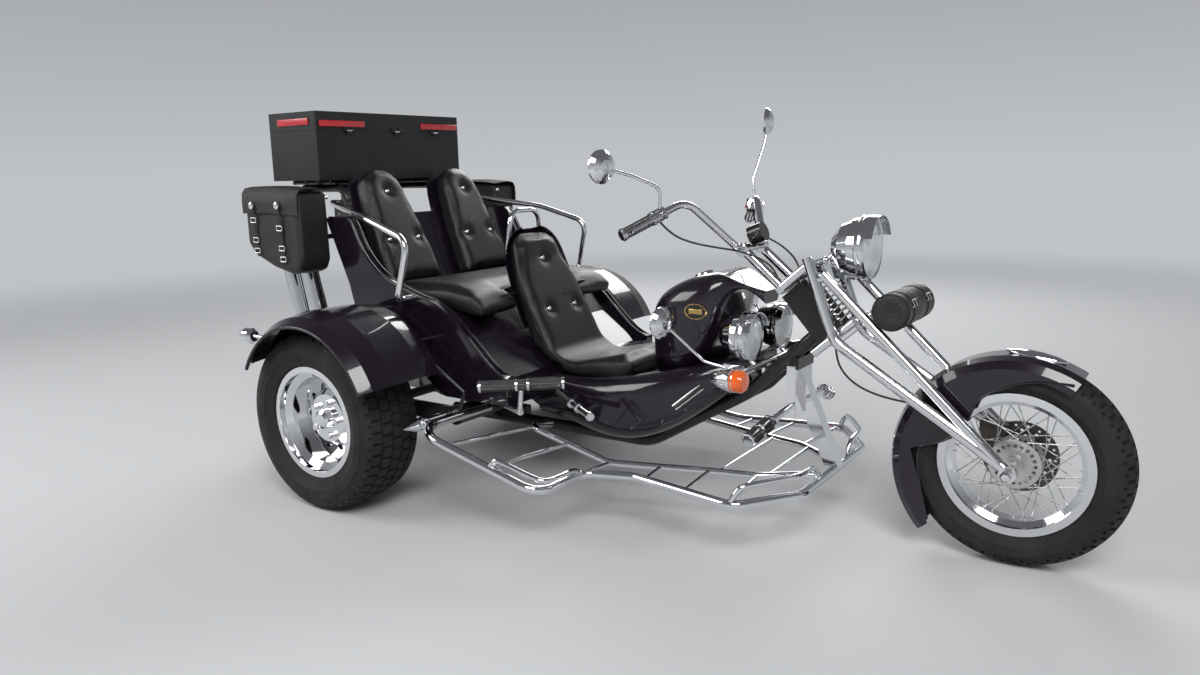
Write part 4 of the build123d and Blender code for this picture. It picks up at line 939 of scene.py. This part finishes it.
def makeGlass(name):
    place, radius, body = lampSettings[name]
    turn = aimed(at(*place), (1, 0, 0))
    glass = ((radius - 0.003, 0.0295), (radius - 0.003, 0.0315), (radius * 0.80, 0.0372),
             (radius * 0.6, 0.0415), (radius * 0.3, 0.0447), (0.0, 0.0458))
    ring = ((radius - 0.005, 0.029), (radius + 0.002, 0.034), (radius + 0.0065, 0.029),
            (radius + 0.0065, 0.016), (radius + 0.004, 0.012))
    objectFrom(spun(glass, 40, turn), name + "Glass", body, "lensGlass", "plate")
    objectFrom(spun(ring, 40, turn), name + "Ring", body, "chrome")


def makeIndicatorTails():
    shape = bmesh.new()
    for part in ("tail", "band"):
        addTurned(shape, indicatorSettings[part], 32, at(*indicatorSettings["place"]), (1, 0, 0))
    pairFrom(shape, "indicatorTails", "chassis", "chrome")


for lampName in lampSettings:
    makeGlass(lampName)
makeIndicatorTails()
print("lamps glazed")

# Mirrors: the glass in each round head

mirrorGlass = ((0.0505, 0.0015), (0.0505, -0.0010), (0.0480, -0.0016), (0.0, -0.0016))
mirrorPlaces = (
    # name, place, facing, body
    ("upperRight", (1.062, -0.500, 1.235), (1, -0.25, -0.1), "steering"),
    ("upperLeft", (1.196, 0.452, 1.394), (1, 0.25, -0.1), "steering"),
    ("lowerRight", (1.188, -0.350, 0.724), (1, -0.25, 0), "chassis"),
    ("lowerLeft", (1.188, 0.350, 0.724), (1, 0.25, 0), "chassis"),
)
for mirrorName, place, facing, body in mirrorPlaces:
    glass = spun(mirrorGlass, 32, aimed(at(*place), facing))
    objectFrom(glass, mirrorName + "MirrorGlass", body, "mirrorGlass", "chrome")
print("mirrors silvered")

# Fork: wound springs, and bolts on the yokes and the axle

rake = math.radians(41.0)
forkUp = Vector((-math.sin(rake), 0, math.cos(rake)))
forkAhead = Vector((math.cos(rake), 0, math.sin(rake)))
forkSettings = {"neck": (1.605, 0.762), "springSide": 0.060, "springAhead": 0.058}
springSettings = {"half": 0.1045, "radius": 0.0208, "wire": 0.0030, "turns": 11, "turnSteps": 24,
                  "core": 0.0105, "cup": 0.0235, "cupHalf": 0.003, "cupIn": 0.004}
boltSettings = {
    "cap": ((0.013, -0.004), (0.013, 0.007), (0.010, 0.011), (0.0, 0.012)),
    "nut": ((0.017, 0.0), (0.017, 0.010), (0.012, 0.0155), (0.0, 0.018)),
    "stem": 0.1305, "stemSize": 1.5, "bars": (-0.040, 0.062), "legs": (0.118, 0.0865), "axle": 0.1620,
}


# Along the fork's own slope, from the neck
def onFork(up, ahead, sideways):
    x, z = forkSettings["neck"]
    return at(x, sideways, z) + forkUp * up + forkAhead * ahead


def onSpring(up, side):
    return onFork(up, forkSettings["springAhead"], side * forkSettings["springSide"])


def makeCoil(side):
    half, turns = springSettings["half"], springSettings["turns"]
    steps = turns * springSettings["turnSteps"]
    coil = bmesh.new()
    foot = Matrix.Translation((springSettings["radius"], 0, 0)) @ Matrix.Rotation(math.pi / 2, 4, "X")
    bmesh.ops.create_circle(coil, cap_ends=False, segments=8, radius=springSettings["wire"], matrix=foot)
    bmesh.ops.spin(coil, geom=coil.edges[:] + coil.verts[:], cent=(0, 0, 0), axis=(0, 0, 1),
                   dvec=(0, 0, 2 * half / steps), angle=math.tau * turns, steps=steps, use_merge=False,
                   use_duplicate=False)
    bmesh.ops.holes_fill(coil, edges=[edge for edge in coil.edges if edge.is_boundary], sides=8)
    faceOut(coil)
    moveBy(coil, aimed(onSpring(-half, side), forkUp))
    return coil


def makeSprings():
    coils, cores = bmesh.new(), bmesh.new()
    half, cupHalf = springSettings["half"], springSettings["cupHalf"]
    for side in (-1, 1):
        takeIn(coils, makeCoil(side))
        addRod(cores, onSpring(-half, side), onSpring(half, side), springSettings["core"])
        for end in (-1, 1):
            level = end * (half - springSettings["cupIn"])
            addRod(cores, onSpring(level - cupHalf, side), onSpring(level + cupHalf, side),
                   springSettings["cup"], 20)
    wound = objectFrom(coils, "forkCoils", "steering", "chrome")
    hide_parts("fork_springs")
    inner = objectFrom(cores, "forkSpringCores", "steering", "fan_black", "chrome")
    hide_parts("fork_springs")


def makeForkBolts():
    shape = bmesh.new()
    cap, stem = boltSettings["cap"], boltSettings["stem"]
    barBack, barSide = boltSettings["bars"]
    legUp, legAhead = boltSettings["legs"]
    wider = [(radius * boltSettings["stemSize"], rise) for radius, rise in cap]
    addTurned(shape, wider, 6, onFork(stem, 0, 0), forkUp)
    for side in (-1, 1):
        for up in (-1, 1):
            addTurned(shape, cap, 16, onFork(up * legUp, legAhead, side * forkSettings["springSide"]),
                      forkAhead)
        addTurned(shape, cap, 16, onFork(stem, barBack, side * barSide), forkUp)
        end = (frontAxle.x, side * boltSettings["axle"], frontAxle.z)
        addTurned(shape, boltSettings["nut"], 6, end, (0, side, 0))
    objectFrom(shape, "forkBolts", "steering", "chrome", sharp=30.0)


makeSprings()
makeForkBolts()
print("fork dressed")

# Grips and pegs: black rubber strips let into chrome, with rings

ribbedSettings = (
    # name, start, end, radius, strips, strip radius, rings along, body
    ("grip", (1.1215, 0.4673, 1.0215), (1.1745, 0.3793, 1.0655), 0.0160, 9, 0.0032, (0.0, 1.0), "steering"),
    ("passengerPeg", (0.606, 0.606, 0.4922), (0.846, 0.443, 0.4998), 0.0162, 10, 0.0043,
     (0.0, 0.44, 0.58, 1.0), "chassis"),
    ("driverPeg", (1.5085, 0.352, 0.3705), (1.5305, 0.243, 0.4055), 0.0203, 9, 0.0046, (0.0, 0.5, 1.0),
     "chassis"),
)
ringSize = {"half": 0.006, "flat": 0.004, "proud": 0.0055, "lowProud": 0.006}


# Rings threaded on a line, at shares of its length
def addRings(shape, start, run, places, radius, proud):
    half, flat = ringSize["half"], ringSize["flat"]
    ring = ((radius, -half), (radius + proud, -flat), (radius + proud, flat), (radius, half))
    for place in places:
        addTurned(shape, ring, 24, start + run * place, run)


def makeStrips():
    for name, start, end, radius, count, thick, rings, body in ribbedSettings:
        rubber, metal = bmesh.new(), bmesh.new()
        start = at(*start)
        run = at(*end) - start
        turned = aimed(start, run)
        for step in range(count):
            angle = math.tau * step / count
            around = Vector((math.cos(angle), math.sin(angle), 0)) * radius
            addRod(rubber, turned @ around, turned @ (around + Vector((0, 0, run.length))), thick, 8)
        addRings(metal, start, run, rings, radius, ringSize["proud"])
        pairFrom(rubber, name + "Rubber", body, "rubber_hose")
        pairFrom(metal, name + "Rings", body, "chrome")


makeStrips()
print("grips and pegs ribbed")

# Tool roll: a stuffed leather cylinder with two buckled straps

rollSettings = {
    "radius": 0.0590, "half": 0.149, "straps": (-0.080, 0.080), "strapHalf": 0.011,
    "rings": (-0.115, -0.095, -0.080, -0.065, -0.03, 0.0, 0.03, 0.065, 0.080, 0.095, 0.115),
    "squeeze": 0.0045, "squeezeHalf": 0.014, "slack": 0.0006,
    "buckle": (0.0545, 0.0260), "buckleLean": -25,
}


def makeRoll():
    centre = middleOf("tool_roll")
    radius, half = rollSettings["radius"], rollSettings["half"]
    end = [(0.0, half - 0.004), (radius * 0.5, half), (radius - 0.012, half), (radius - 0.004, half - 0.002),
           (radius, half - 0.009), (radius - 0.0015, half - 0.016)]
    profile = [(wide, -along) for wide, along in end]
    for place in rollSettings["rings"]:
        near = min(abs(place - strap) for strap in rollSettings["straps"]) / rollSettings["squeezeHalf"]
        profile.append((radius - rollSettings["squeeze"] * math.exp(-near ** 2) - rollSettings["slack"],
                        place))
    shape = spun(profile + end[::-1], 48, aimed(centre, (0, 1, 0)))
    roll = objectFrom(shape, "toolRoll", "steering", "bag_leather", sharp=70.0)
    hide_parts("tool_roll")


def makeRollStraps():
    centre = middleOf("tool_roll")
    radius, wide = rollSettings["radius"], rollSettings["strapHalf"]
    ahead, up = rollSettings["buckle"]
    turn = Matrix.Rotation(math.radians(rollSettings["buckleLean"]), 4, "Y")
    band = ((radius - 0.006, -wide), (radius - 0.0005, -wide), (radius + 0.0002, -wide + 0.001),
            (radius + 0.0002, wide - 0.001), (radius - 0.0005, wide), (radius - 0.006, wide))
    straps, metal = bmesh.new(), bmesh.new()
    for place in rollSettings["straps"]:
        addTurned(straps, band, 48, centre + Vector((0, place, 0)), (0, 1, 0))
        front = centre + Vector((ahead, place, up))
        # low and high corners of the buckle's four bars
        for low, high in (((-0.002, -0.015, -0.014), (0.002, 0.015, -0.010)),
                          ((-0.002, -0.015, 0.010), (0.002, 0.015, 0.014)),
                          ((-0.002, -0.0155, -0.012), (0.002, -0.0115, 0.012)),
                          ((-0.002, 0.0115, -0.012), (0.002, 0.0155, 0.012))):
            addBlock(metal, front + Vector(low), front + Vector(high), 0.001, turn)
    objectFrom(straps, "rollStraps", "steering", "strapLeather", "bag_leather")
    objectFrom(metal, "rollBuckles", "steering", "chrome")


makeRoll()
makeRollStraps()
print("tool roll strapped")

# Tank: a plain oval plaque each side and a filler cap

tankSettings = {
    "plaque": (1.230, 0.1895, 0.742), "half": (0.044, 0.028), "bar": (0.026, 0.0005, 0.0036, 0.009),
    "rim": ((0.84, 0.0), (0.88, 0.0032), (0.96, 0.0032), (1.0, 0.0)),
    "ground": ((0.88, 0.0), (0.80, 0.0012), (0.0, 0.0016)),
    "cap": ((0.036, -0.012), (0.036, 0.006), (0.033, 0.010), (0.024, 0.012), (0.0, 0.013)),
    "capPlace": (1.165, 0, 0.8445), "capWay": (-0.36, 0, 0.93),
}


def makeTankTrim():
    x, y, z = tankSettings["plaque"]
    wide, tall = tankSettings["half"]
    turn = Matrix.Translation(at(x, y, z)) @ Matrix.Rotation(-math.pi / 2, 4, "X")
    turn = turn @ Matrix.Diagonal((wide, tall, 1, 1))
    pairFrom(spun(tankSettings["rim"], 36, turn), "plaqueRims", "chassis", "plaqueGold", "chrome")
    pairFrom(spun(tankSettings["ground"], 36, turn), "plaqueGrounds", "chassis", "fan_black")
    half, inner, outer, rise = tankSettings["bar"]
    bar = bmesh.new()
    addBlock(bar, at(x - half, y + inner, z - rise), at(x + half, y + outer, z + rise), 0.002)
    pairFrom(bar, "plaqueBars", "chassis", "plaqueGold", "chrome")
    cap = spun(tankSettings["cap"], 36, aimed(at(*tankSettings["capPlace"]), tankSettings["capWay"]))
    objectFrom(cap, "fillerCap", "chassis", "chrome")


# Handlebar: a switch box with a red button on the left grip, and the speedometer's face

switchSettings = {
    "place": (1.187, 0.359, 1.076), "along": (0.4729, -0.7880, 0.3940), "half": (0.026, 0.026, 0.020),
    "edge": 0.006, "button": (0.024, 0.008, 0.007),
    "dial": ((0.0345, 0.0), (0.0345, 0.004), (0.0300, 0.0055), (0.0, 0.0057)),
    "dialPlace": (1.351, 0, 0.9909), "dialWay": (-44, 0, -16),
}


def makeSwitches():
    place, half = at(*switchSettings["place"]), Vector(switchSettings["half"])
    turn = Vector(switchSettings["along"]).to_track_quat("Z", "Y").to_matrix().to_4x4()
    box, button = bmesh.new(), bmesh.new()
    addBlock(box, place - half, place + half, switchSettings["edge"], turn)
    objectFrom(box, "switchBox", "steering", "fan_black")
    across = turn @ Vector((1, 0, 0))
    if across.z < 0:
        across = -across
    away, rise, radius = switchSettings["button"]
    start = place + across * away
    addRod(button, start, start + across * rise, radius, 16)
    objectFrom(button, "switchButton", "steering", "reflectorRed", "lamp_orange")
    dial = spun(switchSettings["dial"], 32,
                aimed(at(*switchSettings["dialPlace"]), switchSettings["dialWay"]))
    objectFrom(dial, "dialFace", "steering", "dialFace", "fan_black")


makeTankTrim()
makeSwitches()
print("tank and grips trimmed")

# Engine: pulleys with their belt, plug leads, and a near-black disc over each stack's mouth, soot with
# painted shade of the hollow bore

engineSettings = {
    "fan": (-0.562, -0.040, 0.690), "crank": (-0.607, 0.0, 0.380), "beltX": -0.584,
    "fanWheel": ((0.018, -0.004), (0.058, -0.004), (0.062, 0.004), (0.054, 0.014), (0.054, 0.022),
                 (0.062, 0.032), (0.058, 0.040), (0.026, 0.036), (0.022, 0.046), (0.0, 0.048)),
    "crankWheel": ((0.030, -0.004), (0.086, -0.004), (0.086, 0.003), (0.070, 0.006), (0.030, 0.009),
                   (0.024, 0.018), (0.0, 0.020)),
    "belt": ((-0.106, 0.71), (-0.08, 0.752), (0.0, 0.752), (0.026, 0.71), (0.06, 0.53), (0.102, 0.38),
             (0.06, 0.29), (-0.05, 0.29), (-0.102, 0.37), (-0.112, 0.53)),
    "plugs": ((-0.300, 0.492), (-0.445, 0.500)), "stacks": (-0.530, -0.420), "stackSide": 0.444,
    "stackTop": (-0.062, 0.858), "stackWay": (-0.062, 0, 0.258),
    # the bore: a flat near-black disc just over the stack's mouth, painted shade of the hollow with soot
    "bore": ((0.033, 0.0004), (0.030, 0.0006), (0.0, 0.0006)),
}


def makeEngineTrim():
    wheels, leads, bores = bmesh.new(), bmesh.new(), bmesh.new()
    for part in ("fan", "crank"):
        addTurned(wheels, engineSettings[part + "Wheel"], 36, at(*engineSettings[part]), (-1, 0, 0))
    objectFrom(wheels, "beltWheels", "chassis", "engine_alloy")
    line = [at(engineSettings["beltX"], y, z) for y, z in engineSettings["belt"]]
    objectFrom(lineShape(line, 0.0055, closed=True), "fanBelt", "chassis", "rubber_hose")
    lean, top = engineSettings["stackTop"]
    for side in (-1, 1):
        for x, rise in engineSettings["plugs"]:
            route = ((x, 0.340, 0.472), (x, 0.330, rise), (x - 0.01, 0.26, 0.512), (-0.36, 0.21, 0.530),
                     (-0.34, 0.15, 0.523))
            takeIn(leads, lineShape([at(ahead, side * away, z) for ahead, away, z in route], 0.004))
        for x in engineSettings["stacks"]:
            place = at(x + lean, side * engineSettings["stackSide"], top)
            addTurned(bores, engineSettings["bore"], 28, place, engineSettings["stackWay"])
    objectFrom(leads, "plugLeads", "chassis", "rubber_hose")
    # each disc is painted shade of the stack's hollow bore, with soot
    objectFrom(bores, "stackBores", "chassis", "sootAndBoreShade", "cast_black")


makeEngineTrim()
print("engine trimmed")

# A slotted bright strip low on each side of the tub's nose, laid on its skin

noseSettings = {
    "start": (1.186, 0.414), "end": (1.272, 0.490), "steps": 5, "gap": 0.008, "edge": 0.0032, "slot": 0.0055,
}


def makeNoseStrips():
    tree = treeOf(frame["nodes"]["body_shell"])
    start, end = Vector((*noseSettings["start"], 0)), Vector((*noseSettings["end"], 0))
    across = (end - start).normalized().cross(Vector((0, 0, 1)))
    edges, slot = bmesh.new(), bmesh.new()
    for offset, shape, radius in ((-1, edges, "edge"), (1, edges, "edge"), (0, slot, "slot")):
        line = []
        for step in range(noseSettings["steps"] + 1):
            dot = start.lerp(end, step / noseSettings["steps"]) + across * (offset * noseSettings["gap"])
            line.append(tree.ray_cast(at(dot.x, 0.7, dot.y), Vector((0, -1, 0)))[0])
        takeIn(shape, lineShape(line, noseSettings[radius]))
    pairFrom(edges, "noseStripEdges", "chassis", "chrome")
    pairFrom(slot, "noseStripSlots", "chassis", "fan_black")


makeNoseStrips()
print("nose strips laid")

# A second small peg each side, on an arm from under the tub

pegSettings = {"arm": (0.700, 0.290, 0.418), "foot": (0.776, 0.310, 0.390), "tip": (0.915, 0.378, 0.370),
               "radius": 0.0125, "ring": 0.011, "rings": (0.06, 0.40, 0.95), "armRadius": 0.009}


def makeLowPegs():
    shape, arms = bmesh.new(), bmesh.new()
    foot, tip = at(*pegSettings["foot"]), at(*pegSettings["tip"])
    addRod(shape, foot, tip, pegSettings["radius"], 20)
    addRings(shape, foot, tip - foot, pegSettings["rings"], pegSettings["ring"], ringSize["lowProud"])
    addRod(arms, at(*pegSettings["arm"]), foot + (tip - foot) * 0.04, pegSettings["armRadius"], 16)
    pairFrom(shape, "lowPegs", "chassis", "chrome")
    pairFrom(arms, "lowPegArms", "chassis", "frame_black")


# Guard loops that stand over the footboards' rear and front outer corners

guardSettings = {
    "radius": 0.0095,
    "rear": ((0.752, 0.738, 0.256), (0.764, 0.735, 0.290), (0.800, 0.729, 0.284), (0.905, 0.714, 0.250),
             (0.952, 0.704, 0.238), (0.962, 0.655, 0.236), (0.958, 0.530, 0.234), (0.950, 0.492, 0.200)),
    "front": ((1.508, 0.491, 0.200), (1.530, 0.482, 0.254), (1.560, 0.452, 0.262), (1.632, 0.338, 0.262),
              (1.655, 0.292, 0.262), (1.661, 0.200, 0.260), (1.661, 0.160, 0.250), (1.660, 0.145, 0.200)),
}


def makeGuards():
    shape = bmesh.new()
    for end in ("rear", "front"):
        takeIn(shape, lineShape([at(*place) for place in guardSettings[end]], guardSettings["radius"]))
    pairFrom(shape, "footGuards", "chassis", "chrome")


makeLowPegs()
makeGuards()
print("low pegs and guards set")

# Stage: a pale floor that fades into the sky's low glow, and soft lights

stageSettings = {
    "floorSize": 60.0,
    "floorRough": 0.85,
    "fade": (3.5, 11.0),
    "floorColour": (0.55, 0.56, 0.57),
    "skyLow": (0.66, 0.68, 0.70),
    "skyHigh": (0.17, 0.175, 0.185),
    "skyStrength": 0.8,
}
lightSettings = (
    # name, place, aim, width, height, watts
    ("keyLight", (3.5, -5.0, 5.5), (0.2, 0.0, 0.5), 4.0, 3.0, 470.0),
    ("fillLight", (-5.0, -4.0, 4.0), (-0.4, 0.0, 0.6), 4.0, 3.0, 230.0),
    ("backLight", (-2.0, 6.0, 4.5), (0.0, 0.0, 0.6), 5.0, 2.5, 300.0),
)


def makeFloor():
    low = (*stageSettings["skyLow"], 1.0)
    near, far = stageSettings["fade"]
    mesh = bpy.data.meshes.new("floor")
    shape = bmesh.new()
    bmesh.ops.create_grid(shape, x_segments=1, y_segments=1, size=stageSettings["floorSize"])
    shape.to_mesh(mesh)
    shape.free()
    floor = linked(bpy.data.objects.new("floor", mesh))
    paint = bpy.data.materials.new("floorPaint")
    paint.use_nodes = True
    tree = paint.node_tree
    shader = tree.nodes["Principled BSDF"]
    shader.inputs["Base Color"].default_value = (*stageSettings["floorColour"], 1.0)
    shader.inputs["Roughness"].default_value = stageSettings["floorRough"]
    place, away = nodeIn(tree, "TexCoord"), nodeIn(tree, "VectorMath", operation="LENGTH")
    fade = nodeIn(tree, "MapRange", {"From Min": near, "From Max": far}, interpolation_type="SMOOTHSTEP")
    glow = nodeIn(tree, "Emission", {"Color": low, "Strength": stageSettings["skyStrength"]})
    join = nodeIn(tree, "MixShader")
    wire(tree, (place, "Object", away, 0), (away, "Value", fade, "Value"), (fade, "Result", join, "Fac"),
         (shader, "BSDF", join, 1), (glow, "Emission", join, 2),
         (join, "Shader", tree.nodes["Material Output"], "Surface"))
    mesh.materials.append(paint)


def makeSky():
    world = bpy.data.worlds.new("sky")
    bpy.context.scene.world = world
    world.use_nodes = True
    tree = world.node_tree
    background = tree.nodes["Background"]
    background.inputs["Strength"].default_value = stageSettings["skyStrength"]
    place, split, ramp = nodeIn(tree, "TexCoord"), nodeIn(tree, "SeparateXYZ"), nodeIn(tree, "ValToRGB")
    for step, position, level in ((0, 0.0, "skyLow"), (1, 0.5, "skyHigh")):
        ramp.color_ramp.elements[step].position = position
        ramp.color_ramp.elements[step].color = (*stageSettings[level], 1.0)
    wire(tree, (place, "Generated", split, "Vector"), (split, "Z", ramp, "Fac"),
         (ramp, "Color", background, "Color"))


def makeLights():
    for name, place, aim, width, height, watts in lightSettings:
        data = bpy.data.lights.new(name, "AREA")
        data.shape = "RECTANGLE"
        data.size = width
        data.size_y = height
        data.energy = watts
        lamp = linked(bpy.data.objects.new(name, data))
        lamp.location = place
        lamp.rotation_euler = (Vector(aim) - Vector(place)).to_track_quat("-Z", "Y").to_euler()


makeFloor()
makeSky()
makeLights()
bpy.context.scene.view_settings.view_transform = "Standard"
print("stage set")
